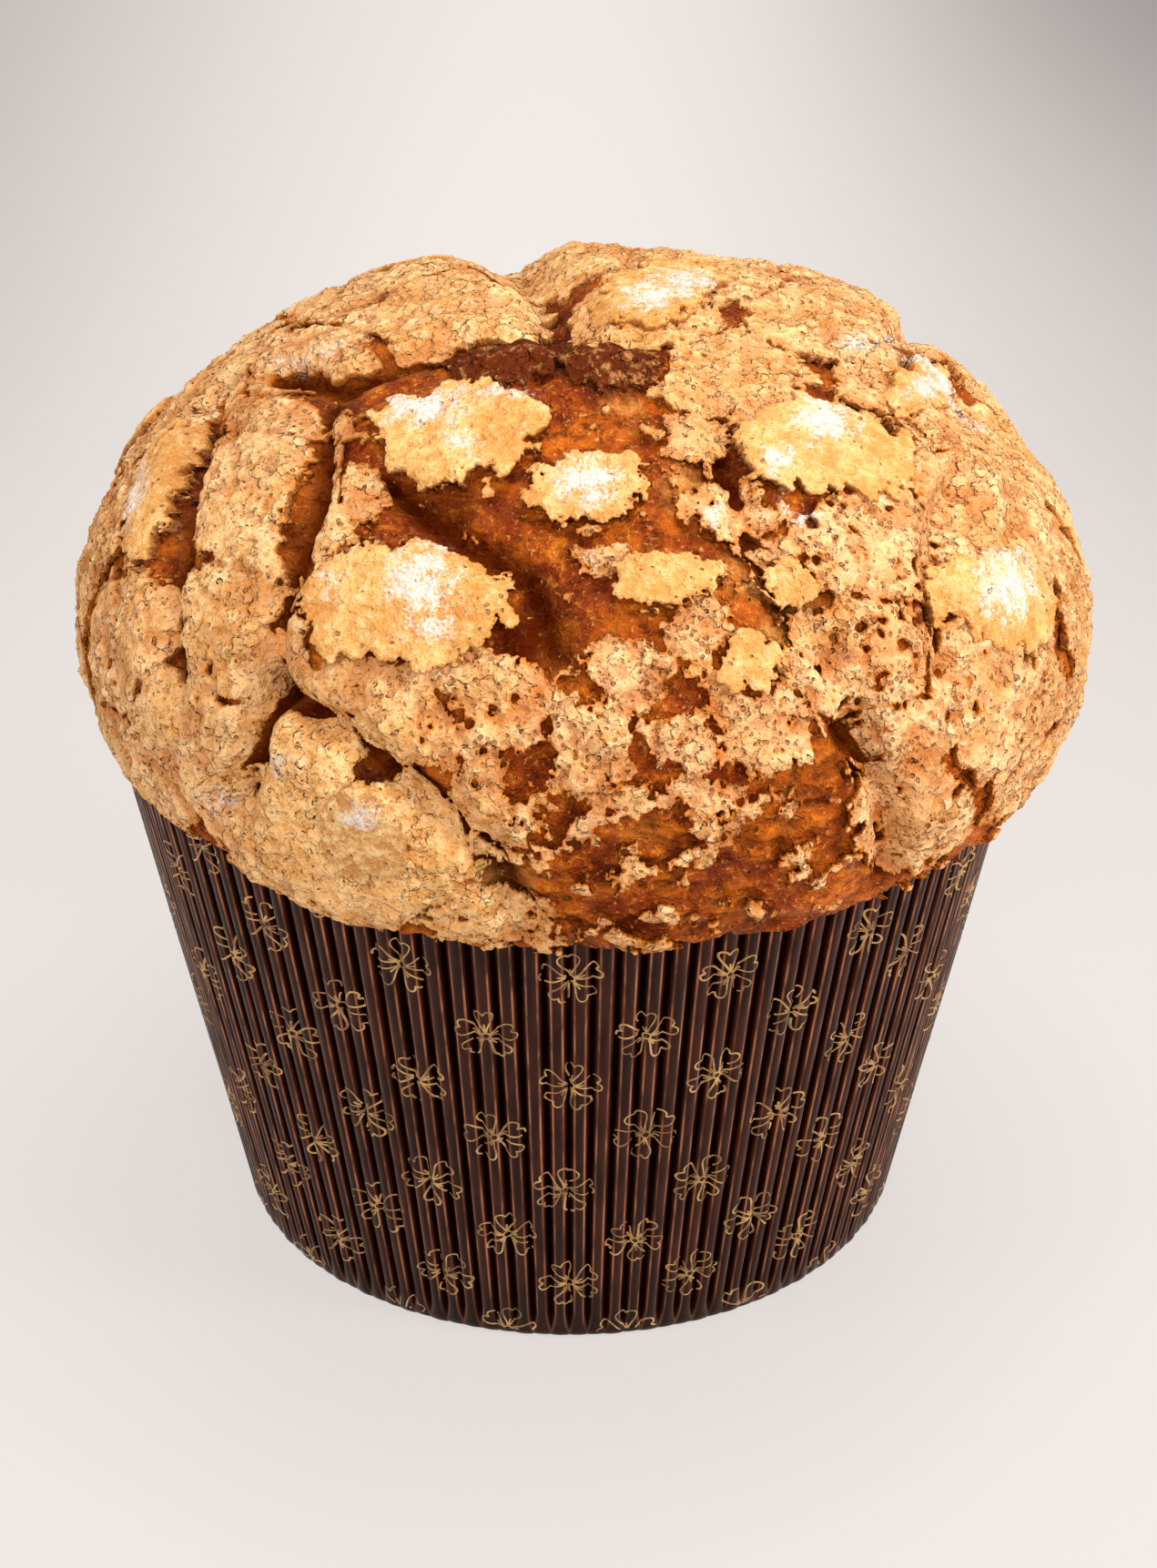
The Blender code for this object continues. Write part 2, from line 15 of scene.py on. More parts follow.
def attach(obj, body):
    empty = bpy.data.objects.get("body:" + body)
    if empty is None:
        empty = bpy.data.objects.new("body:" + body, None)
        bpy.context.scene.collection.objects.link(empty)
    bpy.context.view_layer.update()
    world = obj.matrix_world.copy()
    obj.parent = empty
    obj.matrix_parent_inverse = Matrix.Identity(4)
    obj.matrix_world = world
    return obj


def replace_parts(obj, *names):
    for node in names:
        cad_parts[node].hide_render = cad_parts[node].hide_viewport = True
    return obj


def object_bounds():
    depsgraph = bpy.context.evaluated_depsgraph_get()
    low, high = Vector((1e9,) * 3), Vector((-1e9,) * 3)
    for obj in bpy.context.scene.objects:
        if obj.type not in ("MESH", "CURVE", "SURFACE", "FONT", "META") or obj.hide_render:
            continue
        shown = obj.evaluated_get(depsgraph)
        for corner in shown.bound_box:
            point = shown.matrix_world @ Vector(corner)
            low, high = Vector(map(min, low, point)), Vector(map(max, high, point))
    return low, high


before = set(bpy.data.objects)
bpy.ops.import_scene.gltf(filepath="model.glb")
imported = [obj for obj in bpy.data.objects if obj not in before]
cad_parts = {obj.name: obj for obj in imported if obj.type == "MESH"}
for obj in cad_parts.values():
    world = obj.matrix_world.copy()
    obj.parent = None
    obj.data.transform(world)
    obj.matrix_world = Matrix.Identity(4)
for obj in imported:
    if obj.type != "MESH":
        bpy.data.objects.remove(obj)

CAD_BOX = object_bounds()
MM = 0.001

# ---- sizes shared with the solids
CASE_HEIGHT = 100.0
CASE_BASE_RADIUS = 62.0
CASE_FLARE = 0.209
CASE_WALL = 2.0
FLUTE_COUNT = 120
FLUTE_DEPTH = 1.2

DOME_RADIUS = 88.6
DOME_RISE = 57.0
DOME_FALL = 70.0
WAIST_Z = 120.0
HEART = (1.9, 0.0, 110.0)
LIP_Z = 92.5
LIP_ROUND = 3.0
LIP_RISES = ((-152.0, 26.0, 8.0), (-78.0, 14.0, 1.5), (40.0, 30.0, 3.0), (130.0, 40.0, 4.0))

SWELLS = (
    (120, 44, 15, -0.6),
    (76, 44, 16, -1.2),
    (38, 52, 13, 2.4),
    (0, 56, 12, -5.0),
    (-16, 88, 20, 2.0),
    (-160, 78, 20, 0.5),
    (172, 58, 18, -1.0),
    (-140, 56, 18, 1.5),
    (-112, 86, 16, 2.5),
    (-76, 92, 18, 2.5),
    (-105, 22, 8, 4.0),
    (-78, 24, 7, 3.0),
    (-95, 52, 14, -2.0),
    (-40, 90, 14, 1.0),
)

FOLDS = (
    (6.0, 3.4, ((-126, 74), (-127, 82), (-130, 89))),
    (4.0, 3.2, ((-126, 74), (-115, 76), (-106, 82), (-100, 86), (-96, 95))),
    (5.0, 3.2, ((-60, 77), (-56, 86), (-53, 96))),
    (3.0, 3.4, ((-60, 36), (-64, 46), (-66, 56), (-63, 66), (-58, 77))),
    (4.0, 3.6, ((12, 33), (-6, 37), (-18, 48), (-24, 58), (-30, 62))),
    (5.0, 3.6, ((-176, 52), (-160, 57), (-150, 63), (-145, 70), (-140, 77))),
    (4.0, 4.0, ((-170, 44), (-152, 38), (-140, 24), (-112, 17), (-96, 21), (-70, 20))),
    (3.0, 3.0, ((-146, 42), (-131, 52), (-128, 63), (-126, 74))),
    (3.0, 3.0, ((-30, 58), (-42, 64), (-46, 74))),
    (6.0, 7.0, ((-100, 14), (175, 5), (116, 20), (106, 45), (102, 66))),
    (3.5, 3.2, ((-122, 49), (-108, 54), (-97, 58), (-93, 66))),
    (5.0, 4.0, ((150, 45), (160, 60), (170, 80), (168, 96))),
    (4.0, 4.0, ((20, 50), (35, 62), (40, 78), (50, 96))),
    (4.0, 4.0, ((102, 66), (95, 78), (104, 97))),
)

PLATES = {
    "crown_left": (179, 21, 26, 19, 12),
    "brow_left": (-170, 39, 18, 11, 49),
    "shelf_left": (-151, 46, 20, 5, 18),
    "cheek_left": (-138, 55, 22, 14, -13),
    "cheek_low": (-133, 70, 17, 13, 11),
    "edge_left": (-152, 78, 16, 13, 51),
    "low_left": (-138, 83, 20, 13, 35),
    "front_left": (-111, 73, 17, 8, -6),
    "lobe_top": (-119, 79, 10, 9, 12),
    "lobe_left": (-125, 88, 17, 12, 37),
    "lobe_front": (-109, 88, 15, 13, 56),
    "hem_left": (-101, 96, 11, 6, 15),
    "inlet": (-100, 82, 10, 5, 85),
    "island_left": (-100, 71, 11, 8, 1),
    "island_middle": (-89, 75, 9, 7, 89),
    "island_high": (-85, 67, 7, 5, 1),
    "island_side": (-76, 64, 7, 6, 71),
    "island_right": (-70, 75, 10, 8, -10),
    "island_low": (-79, 75, 6, 5, 86),
    "islet_low": (-74, 82, 9, 3, -10),
    "side_middle": (-57, 70, 15, 11, -7),
    "side_upper": (-47, 59, 18, 11, -6),
    "side_right": (-22, 62, 28, 17, 2),
    "low_right": (-37, 81, 23, 14, -30),
    "hem_right": (-51, 90, 17, 10, -41),
    "crown_front": (-47, 31, 16, 11, 7),
    "crown_top": (-25, 11, 20, 13, 13),
    "crown_right": (12, 36, 27, 12, -30),
    "shoulder": (-10, 43, 18, 7, -9),
    "flank_right": (-9, 54, 20, 11, -11),
    "patch_high": (-66, 39, 8, 6, 28),
    "patch_middle": (-67, 51, 8, 6, 4),
    "patch_side": (-62, 57, 5, 3, -12),
    "bead_left": (-125, 51, 7, 4, -48),
    "patch_low": (-87, 55, 5, 3, -2),
    "ember_left": (-122, 24, 15, 9, 5),
    "ember_right": (-80, 25, 11, 7, -5),
    "rim_right": (3, 73, 27, 16, 86),
    "hem_side": (-12, 88, 20, 13, 10),
    "rim_left": (-171, 72, 22, 14, 85),
    "hem_far": (-150, 92, 20, 12, 10),
    "hem_lobe": (-121, 96, 18, 11, 5),
    "side_low": (-16, 77, 16, 11, 80),
    "hem_mid": (-28, 93, 18, 9, -5),
    "side_gap": (-52, 79, 12, 6, -20),
}

FLAKES = {
    "flake_high": (-114, 39, 15, 11, 9),
    "flake_centre": (-89, 46, 11, 7, -2),
    "flake_large": (-112, 62, 18, 11, 8),
    "flake_middle": (-79, 58, 9, 5, -3),
    "flake_shoulder": (-44, 46, 17, 11, -13),
    "flake_right": (-34, 70, 17, 9, -25),
    "flake_small": (-63, 61, 5, 4, 3),
    "flake_low": (-71, 68, 6, 5, -2),
    "flake_edge": (-162, 62, 17, 6, -33),
    "flake_crown": (-4, 11, 19, 9, -20),
    "flake_flank": (-2, 50, 17, 5, -20),
    "flake_lobe": (-112, 86, 10, 8, 66),
    "flake_back": (118, 48, 17, 10, 20),
    "flake_rear": (74, 74, 15, 9, -30),
    "flake_far": (165, 70, 13, 9, 60),
}

BACK_SEED = 12
BACK_TRIES = 900
BACK_AZIMUTH = (0.0, 198.0)
BACK_TILT = (18.0, 93.0)
BACK_HALF = (19.0, 26.0)
BACK_WIDTH = (0.7, 0.95)
BACK_TURN = (-50.0, 50.0)
BACK_SPACING = 17.5

CRACK = 0.10
GLAZE_THICKNESS = 1.5
FLAKE_THICKNESS = 2.8
RAGGED = 0.22
RAGGED_SCALE = 0.23

# ---- sizes of the fine surface
DOUGH_SIDES = 640  # points round the dough, and rings of them
DOUGH_ROWS = 150
GLAZE_STEP = 0.35  # degrees between the points of the glaze
FLAKE_STEP = 0.30
TILT_LIMIT = 103.0  # how far down the dome the fine surface goes
GLAZE_EDGE = 0.75  # share of the glaze's thickness left at its broken edge
EDGE_REACH = 0.9  # mm in from an edge to full thickness
FOLD_OPEN = 0.84  # how deep in a fold the glaze is torn open, from 0 to 1
FOLD_GAP = 9.0  # mm
SKIRT = 0.7  # how far an edge's wall goes down into what is below
GLAZE_UNDERCUT = 0.5  # mm that a broken edge's foot lies inside its top
FLAKE_UNDERCUT = 1.0
UNDERCUT_ROUNDS = 3  # smoothing of the direction that an undercut goes in
GLAZE_TOOTH = 1.0  # mm that small noise moves a broken edge
FLAKE_TOOTH = 1.15
CRACK_APART = 0.6  # width of the cracks, as a factor of CRACK
CRACK_JOINED = -0.35
CRUMB_LEVEL = 0.85  # noise above this leaves a crumb of glaze on the dough
HOLE_SPACING = 3.0  # mm between the holes of the glaze
HOLE_LEAST = 0.2
HOLE_SPREAD = 1.25
TORN_AZIMUTH = (-124.0, -112.0)  # past this the folds' glaze is torn less
TORN_LESS = 3.5
RIM_SLACK = 0.6  # mm that glaze may go past the lip
GLAZE_SINK = 0.25  # mm that the glaze sits in the dough
SEAM_WIDTH = 1.1  # of the groove where two plates have run together
SEAM_DEPTH = 0.8

# Sugar on the flakes and the crust: azimuth, tilt, long and short half width, turn, strength.
SUGAR = (
    (-123, 37, 8, 5, 30, 1.0), (-108, 32, 7, 3, 19, 0.7), (-112, 41, 6, 3, -39, 0.6),
    (-89, 45, 6, 6, 0, 1.0), (-110, 59, 7, 6, -50, 1.0), (-121, 61, 5, 3, -85, 0.6),
    (-107, 64, 7, 3, 27, 0.6), (-112, 84, 4, 3, 23, 0.9), (-133, 89, 4, 3, 32, 0.6),
    (-170, 39, 11, 3, 49, 0.6), (-165, 63, 13, 4, -25, 0.7), (-123, 81, 8, 3, 25, 0.5),
    (-25, 11, 9, 5, 10, 1.0), (9, 15, 8, 6, -20, 1.0), (-41, 43, 8, 6, 20, 1.0),
    (-56, 46, 4, 3, 38, 1.0), (-70, 51, 3, 2, 39, 0.9), (-57, 53, 5, 3, -66, 0.7),
    (2, 41, 7, 3, -37, 0.9), (-3, 50, 12, 3, -19, 1.1), (8, 52, 14, 4, 60, 1.1),
    (-32, 69, 10, 7, -2, 1.0), (118, 48, 9, 6, 20, 1.0), (74, 74, 8, 5, -30, 0.9),
    (165, 70, 7, 4, 60, 0.8), (60, 40, 8, 4, 10, 0.7), (140, 76, 9, 4, -20, 0.6),
)

# Where the crust is burnt: azimuth, tilt, reach in degrees, strength.
BURNT = (
    (-120, 23, 8, 0.8), (-80, 26, 7, 0.9), (-95, 25, 6, 0.8), (-150, 44, 5, 0.5), (160, 8, 8, 0.6),
    # the next row, on the far left side, is partly browned crust, partly painted shade where the light
    # falls off
    (178, 66, 12, 0.55),
)
# How burnt whole plates are, below the noise that breaks the burning up.
EMBERS = {"ember_left": 1.1, "ember_right": 1.15}
# Where the bare dough is golden, where painted shade darkens it most in its creases, and where the crust
# is lighter: partly paler crust, partly painted light on the lobes below and on the crown.
GOLDEN = (
    (-80, 34, 6, 0.6), (-72, 47, 6, 0.8), (-67, 58, 6, 0.8), (-63, 67, 7, 0.9), (-100, 92, 7, 0.7),
    (-84, 85, 7, 0.5), (-62, 38, 6, 0.5), (-108, 68, 5, 0.6), (-53, 79, 6, 0.7),
)
DEEP = ((-96, 64, 5, 1.0), (-104, 61, 4, 0.8), (-110, 50, 5, 0.7), (-53, 44, 4, 0.8), (-89, 76, 4, 0.5))
PALE_AND_LIT = (
    (-119, 86, 13, 1.1), (-107, 91, 10, 1.1), (-138, 70, 16, 0.4), (-40, 10, 35, 0.45),
    (10, 60, 25, 0.3), (170, 20, 15, 0.5),
)
# Strips without glaze, given like the sugar.
CLEARED = ((-131, 55, 21, 4, -63, 1.0), (-121, 47, 8, 3, -60, 0.9))

# Regions where small crumbs of glaze stick to the bare dough, given like the burns.
CRUMBS = (
    (-84, 72, 13, 0.85), (-64, 46, 12, 0.7), (-90, 81, 10, 0.9), (-80, 80, 9, 0.7),
    (-78, 36, 8, 0.4), (-98, 82, 9, 0.7), (-97, 95, 8, 0.9), (-60, 60, 8, 0.8),
    (-88, 93, 9, 0.75), (-75, 88, 8, 0.6), (-106, 55, 8, 0.3), (-68, 92, 7, 0.5),
    (-92, 97, 6, 1.1), (-83, 97, 6, 1.0),
)
# Plates that stand apart from their neighbours; the others mostly run together.
APART = ("island", "islet", "patch", "bead", "ember", "inlet", "crown_left", "flake")
# Plates with a coarse, holed surface, and how open it is. The others have the values below it:
# for the holes in the mesh, those of the front and of the back, and for the paint, all of them.
POROUS = {
    "island_left": 0.6, "island_middle": 1.0, "island_high": 1.0, "island_side": 0.9,
    "island_right": 1.0, "island_low": 1.0, "islet_low": 1.0, "side_middle": 0.8,
    "side_upper": 0.6, "patch_high": 0.8, "patch_middle": 0.6, "patch_side": 0.5,
    "patch_low": 0.9, "inlet": 0.7, "cheek_low": 0.5, "front_left": 0.4, "hem_right": 0.7,
    "hem_left": 0.6, "side_gap": 0.9, "low_right": 0.4, "edge_left": 0.5, "crown_front": 0.4,
}
POROUS_FRONT = 0.12
POROUS_BACK = 0.25
POROUS_PAINT = 0.35


# ---- form, as in the solids
def unit(azimuth, tilt):
    a, t = math.radians(azimuth), math.radians(tilt)
    return np.array((math.sin(t) * math.cos(a), math.sin(t) * math.sin(a), math.cos(t)))


def azimuth_of(d):
    return np.degrees(np.arctan2(d[:, 1], d[:, 0]))


def tilt_of(d):
    return np.degrees(np.arccos(np.clip(d[:, 2], -1.0, 1.0)))


def bell(x, width):
    return np.exp(-(x / width) ** 2)


def degrees_apart(d, axis):
    return np.degrees(np.arccos(np.clip(d @ axis, -1.0, 1.0)))


def ellipsoid_reach(d, height):
    drop = WAIST_Z - HEART[2]
    a = (d[:, 0] ** 2 + d[:, 1] ** 2) / DOME_RADIUS ** 2 + d[:, 2] ** 2 / height ** 2
    b = -d[:, 2] * drop / height ** 2
    c = drop ** 2 / height ** 2 - 1.0
    return (-b + np.sqrt(b * b - a * c)) / a


def lip_height(azimuth):
    z = np.full(azimuth.shape, LIP_Z)
    for centre, reach, rise in LIP_RISES:
        away = (azimuth - centre + 180.0) % 360.0 - 180.0
        z += rise * bell(away, reach)
    return z


def line_distance(d, line):
    corners = [unit(*corner) for corner in line]
    best = np.full(len(d), 1e9)
    for start, end in zip(corners, corners[1:]):
        along = end - start
        share = np.clip((d - start) @ along / (along @ along), 0.0, 1.0)
        best = np.minimum(best, np.linalg.norm(d - start - share[:, None] * along, axis=1))
    return np.degrees(best)


def side_reach(d):
    """The dome's side before its lip is cut off, and how deep the folds are, from 0 to 1."""
    upper = ellipsoid_reach(d, DOME_RISE)
    lower = ellipsoid_reach(d, DOME_FALL)
    reach = np.where(HEART[2] + upper * d[:, 2] > WAIST_Z, upper, lower)
    for azimuth, tilt, width, rise in SWELLS:
        reach = reach + rise * bell(degrees_apart(d, unit(azimuth, tilt)), width)
    per_degree = math.radians(1.0) * reach
    hollow = np.zeros(len(d))
    for depth, half_width, line in FOLDS:
        fall = bell(line_distance(d, line) * per_degree, half_width)
        reach = reach - depth * fall
        hollow = np.maximum(hollow, fall * min(1.0, 4.5 / half_width))
    return reach, hollow


def lip_floor(d):
    azimuth = azimuth_of(d)
    return (HEART[2] - lip_height(azimuth)) / np.maximum(-d[:, 2], 1e-3)


def dough_reach(d):
    """Distance from the heart to the bare dough in mm, and the depth of the folds."""
    reach, hollow = side_reach(d)
    floor = lip_floor(d)
    blend = np.clip(0.5 + 0.5 * (floor - reach) / LIP_ROUND, 0.0, 1.0)
    return floor + (reach - floor) * blend - LIP_ROUND * blend * (1.0 - blend), hollow


def tangents(d):
    level = np.array((-d[1], d[0], 0.0))
    level /= np.linalg.norm(level)
    return level, np.cross(d, level)


def plate_frame(plate):
    azimuth, tilt, long_half, short_half, turn = plate
    centre = unit(azimuth, tilt)
    level, up = tangents(centre)
    t = math.radians(turn)
    reach = dough_reach(centre[None, :])[0][0]
    long_axis = (math.cos(t) * level + math.sin(t) * up) * long_half / reach
    short_axis = (math.cos(t) * up - math.sin(t) * level) * short_half / reach
    return centre, long_axis, short_axis


def cover(d, frame_axes):
    centre, long_axis, short_axis = frame_axes
    off = d - centre
    along = off @ long_axis / (long_axis @ long_axis)
    across = off @ short_axis / (short_axis @ short_axis)
    return np.where(d @ centre > 0.0, 1.0 - np.hypot(along, across), -9.0)


def wander(d, scale, seed):
    """Slow noise along the directions, about -1 to 1."""
    size = DOME_RADIUS * scale
    return np.array([noise.noise((v[0] * size + seed, v[1] * size, v[2] * size)) for v in d])


def back_plates():
    """Plates spread over the unseen side, none too near another."""
    draw = random.Random(BACK_SEED)
    taken = [unit(p[0], p[1]) for p in PLATES.values()]
    high, low = (math.cos(math.radians(tilt)) for tilt in BACK_TILT)
    found = {}
    for i in range(BACK_TRIES):
        azimuth = draw.uniform(*BACK_AZIMUTH)
        tilt = math.degrees(math.acos(draw.uniform(low, high)))
        half = draw.uniform(*BACK_HALF)
        plate = (azimuth, tilt, half, half * draw.uniform(*BACK_WIDTH), draw.uniform(*BACK_TURN))
        centre = unit(azimuth, tilt)
        if min(degrees_apart(np.array(taken), centre)) > BACK_SPACING:
            taken.append(centre)
            found[f"back_{i}"] = plate
    return found


# ---- noise on arrays of points
TABLE_BITS = 4095
DRAW = np.random.RandomState(5)
GRADIENTS = DRAW.normal(size=(TABLE_BITS + 1, 3))
GRADIENTS /= np.linalg.norm(GRADIENTS, axis=1)[:, None]
JITTER = DRAW.uniform(size=(TABLE_BITS + 1, 4))
HASH_PRIMES = (73856093, 19349663, 83492791)


def hashed(cell):
    h = cell[..., 0] * HASH_PRIMES[0] ^ cell[..., 1] * HASH_PRIMES[1] ^ cell[..., 2] * HASH_PRIMES[2]
    return (h ^ (h >> 13)) & TABLE_BITS


def smooth_noise(p):
    """Gradient noise, about -1 to 1, with cells one unit wide."""
    cell = np.floor(p).astype(np.int64)
    f = p - cell
    u = f * f * f * (f * (f * 6.0 - 15.0) + 10.0)
    total = np.zeros(len(p))
    for x in (0, 1):
        for y in (0, 1):
            for z in (0, 1):
                corner = np.array((x, y, z))
                slope = GRADIENTS[hashed(cell + corner)]
                weight = np.prod(np.where(corner == 1, u, 1.0 - u), axis=1)
                total += weight * ((f - corner) * slope).sum(axis=1)
    return 1.6 * total


def fbm(p, width, octaves=3, gain=0.5, seed=0.0):
    """Noise in several sizes, the largest `width` mm wide."""
    total, size = np.zeros(len(p)), 1.0
    for octave in range(octaves):
        total += size * smooth_noise(p * (2.0 ** octave / width) + seed + 17.3 * octave)
        size *= gain
    return total


def spots(p, width, seed=0, ridges=False):
    """Distance to the nearest of scattered points, in mm, and that point's own draw, or how
    much further the second nearest one is."""
    q = p / width
    cell = np.floor(q).astype(np.int64)
    best, draw, second = np.full(len(p), 9.0), np.zeros(len(p)), np.full(len(p), 9.0)
    for x in (-1, 0, 1):
        for y in (-1, 0, 1):
            for z in (-1, 0, 1):
                there = cell + np.array((x, y, z))
                key = JITTER[hashed(there + seed)]
                away = np.linalg.norm(there + key[:, :3] - q, axis=1)
                nearer = away < best
                second = np.where(nearer, best, np.minimum(second, away))
                best = np.where(nearer, away, best)
                draw = np.where(nearer, key[:, 3], draw)
    return best * width, (second - best) * width if ridges else draw


def joined(a, b, reach):
    """The smaller of two, and less than both where they are nearly alike."""
    near = np.clip(reach - np.abs(a - b), 0.0, None)
    return np.minimum(a, b) - near ** 2 / (4.0 * reach)


def ramp(x, low, high):
    t = np.clip((x - low) / (high - low), 0.0, 1.0)
    return t * t * (3.0 - 2.0 * t)


# ---- meshes
def add_piece(name, points, faces, material, layers=None):
    """A mesh object from points in mm and triangles or quads, with named values on its points.
    No point goes outside the box of the solids."""
    points = np.clip(points, np.array(CAD_BOX[0]) / MM, np.array(CAD_BOX[1]) / MM)
    mesh = bpy.data.meshes.new(name)
    faces = np.asarray(faces, np.int32)
    sides = faces.shape[1]
    mesh.vertices.add(len(points))
    mesh.vertices.foreach_set("co", (points * MM).astype(np.float32).ravel())
    mesh.loops.add(faces.size)
    mesh.loops.foreach_set("vertex_index", faces.ravel())
    mesh.polygons.add(len(faces))
    mesh.polygons.foreach_set("loop_start", np.arange(len(faces), dtype=np.int32) * sides)
    mesh.polygons.foreach_set("loop_total", np.full(len(faces), sides, np.int32))
    mesh.update(calc_edges=True)
    mesh.validate()
    for layer, values in (layers or {}).items():
        attribute = mesh.attributes.new(layer, "FLOAT", "POINT")
        attribute.data.foreach_set("value", np.asarray(values, np.float32))
    mesh.shade_smooth()
    mesh.materials.append(material)
    piece = bpy.data.objects.new(name, mesh)
    bpy.context.scene.collection.objects.link(piece)
    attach(piece, "root")
    return piece


def chart_grid(step):
    """Directions over the dome on a square chart of tilt and azimuth, and their triangles."""
    count = int(TILT_LIMIT / step)
    axis = np.arange(-count, count + 1) * step
    x, y = np.meshgrid(axis, axis, indexing="ij")
    tilt = np.radians(np.hypot(x, y))
    azimuth = np.arctan2(y, x)
    d = np.stack((np.sin(tilt) * np.cos(azimuth), np.sin(tilt) * np.sin(azimuth), np.cos(tilt)), axis=-1)
    size = len(axis)
    index = np.arange(size * size).reshape(size, size)
    a, b, c, e = index[:-1, :-1], index[1:, :-1], index[1:, 1:], index[:-1, 1:]
    even = np.add.outer(np.arange(size - 1), np.arange(size - 1)) % 2 == 0
    first = np.where(even[..., None], np.stack((a, b, c), -1), np.stack((a, b, e), -1))
    second = np.where(even[..., None], np.stack((a, c, e), -1), np.stack((b, c, e), -1))
    triangles = np.concatenate((first.reshape(-1, 3), second.reshape(-1, 3)))
    inside = (np.degrees(tilt) < TILT_LIMIT).ravel()
    return compact(d.reshape(-1, 3), triangles[inside[triangles].all(axis=1)])


def ring_faces(index):
    """Triangles between the rows of a grid whose rows close round on themselves."""
    a, b = index[:-1], index[1:]
    a_next, b_next = np.roll(a, -1, axis=1), np.roll(b, -1, axis=1)
    return np.stack((a, b, b_next, a, b_next, a_next), -1).reshape(-1, 3)


def compact(points, triangles, *extras):
    """Drops the points that no triangle uses."""
    used, triangles = np.unique(triangles, return_inverse=True)
    return (points[used], triangles.reshape(-1, 3), *(extra[used] for extra in extras))


def cut_at_zero(points, triangles, room):
    """Keeps where room is above zero. Returns the faces, whose points are the grid's and then
    the cut's; for each point of the cut the two grid points beside it, and its share of the way
    from the first to the second; and the line segments of the cut."""
    positive = room > 0.0
    count = positive[triangles].sum(axis=1)

    def edge_key(rows, k):
        a, b = rows[:, 0], rows[:, k]
        return np.minimum(a, b) * len(points) + np.maximum(a, b)

    def turned(rows, first):
        return rows[np.arange(len(rows))[:, None], (first[:, None] + np.arange(3)) % 3]

    one, two = triangles[count == 1], triangles[count == 2]
    one = turned(one, np.argmax(positive[one], axis=1))
    two = turned(two, np.argmin(positive[two], axis=1))
    keys = np.unique(np.concatenate([edge_key(rows, k) for rows in (one, two) for k in (1, 2)]))
    low, high = keys // len(points), keys % len(points)
    share = np.clip(room[low] / (room[low] - room[high]), 0.02, 0.98)
    a1, b1, a2, b2 = (len(points) + np.searchsorted(keys, edge_key(rows, k))
                      for rows in (one, two) for k in (1, 2))
    faces = np.concatenate((
        triangles[count == 3],
        np.stack((one[:, 0], a1, b1), 1),
        np.stack((a2, two[:, 1], two[:, 2]), 1),
        np.stack((a2, two[:, 2], b2), 1)))
    segments = np.concatenate((np.stack((a1, b1), 1), np.stack((b2, a2), 1)))
    return faces, low, high, share, segments


def mixed(values, low, high, share):
    """Values on the kept grid, followed by those on the cut."""
    s = share if values.ndim == 1 else share[:, None]
    return np.concatenate((values, values[low] * (1.0 - s) + values[high] * s))


def add_layer(groups, step, field, lift, shade, undercut, material):
    """A broken sheet over the dome: where field is above zero, lifted by lift, with walls.
    groups gives each piece's name and its plates' numbers."""
    d, triangles = chart_grid(step)
    reach, hollow = dough_reach(d)
    room, label, seam = field(d, d * reach[:, None], hollow)
    keep = (room > 0.0)[triangles].any(axis=1)
    d, triangles, room, label, seam = compact(d, triangles[keep], room, label, seam)
    faces, low, high, share, segments = cut_at_zero(d, triangles, room)
    inside = np.where(room[low] > 0.0, low, high)
    inward = np.concatenate((np.zeros((len(d), 3)), d[inside]))
    label = np.concatenate((label, label[inside]))
    seam = mixed(seam, low, high, share)
    room = np.concatenate((room, np.zeros(len(low))))
    on_grid = len(d)
    d = mixed(d, low, high, share)
    d /= np.linalg.norm(d, axis=1)[:, None]
    reach = dough_reach(d)[0]
    height, extra = lift(d, d * reach[:, None], room, label, seam)
    top = np.array(HEART) + d * (reach + height)[:, None]
    # the wall under the broken edge
    edge = np.unique(segments)
    spot = np.full(len(d), -1)
    spot[edge] = len(d) + np.arange(len(edge))
    start, end = segments.T
    inward[on_grid:] -= d[on_grid:]
    for _ in range(UNDERCUT_ROUNDS):
        pooled = inward.copy()
        np.add.at(pooled, start, inward[end])
        np.add.at(pooled, end, inward[start])
        inward = pooled
    inward = inward[edge] / np.maximum(np.linalg.norm(inward[edge], axis=1), 1e-9)[:, None]
    below = d[edge] + inward * (undercut / DOME_RADIUS)
    foot = np.array(HEART) + below * (reach[edge] - SKIRT)[:, None]
    points = np.concatenate((top, foot))
    walls = [np.stack((start, spot[start], end), 1), np.stack((end, spot[start], spot[end]), 1)]
    faces = np.concatenate((faces, *walls))
    values = {"edge": np.exp(-room / EDGE_REACH), **extra, **shade(d, label)}
    values = {key: np.concatenate((part, part[edge])) for key, part in values.items()}
    # foot marks the wall's lower points, which the paint darkens as painted shade under the broken edge
    values["foot"] = np.concatenate((np.zeros(len(d)), np.ones(len(edge))))
    owner = label[faces[:, 0]]
    for name, numbers in groups.items():
        used, local = np.unique(faces[np.isin(owner, numbers)], return_inverse=True)
        layers = {key: value[used] for key, value in values.items()}
        add_piece(name, points[used], local.reshape(-1, 3), material, layers)


# ---- masks over the dome
def ellipse_mask(d, rows):
    """The largest of several soft ellipses at each direction."""
    total = np.zeros(len(d))
    for *plate, strength in rows:
        inside = np.clip(0.25 + cover(d, plate_frame(plate)), 0.0, 1.0)
        total = np.maximum(total, strength * inside)
    return total


def round_mask(d, rows):
    """The largest of several soft round spots at each direction."""
    total = np.zeros(len(d))
    for azimuth, tilt, reach, strength in rows:
        total = np.maximum(total, strength * bell(degrees_apart(d, unit(azimuth, tilt)), reach))
    return total


def openness(names, front, back):
    return np.array([POROUS.get(name, back if name.startswith("back") else front) for name in names])


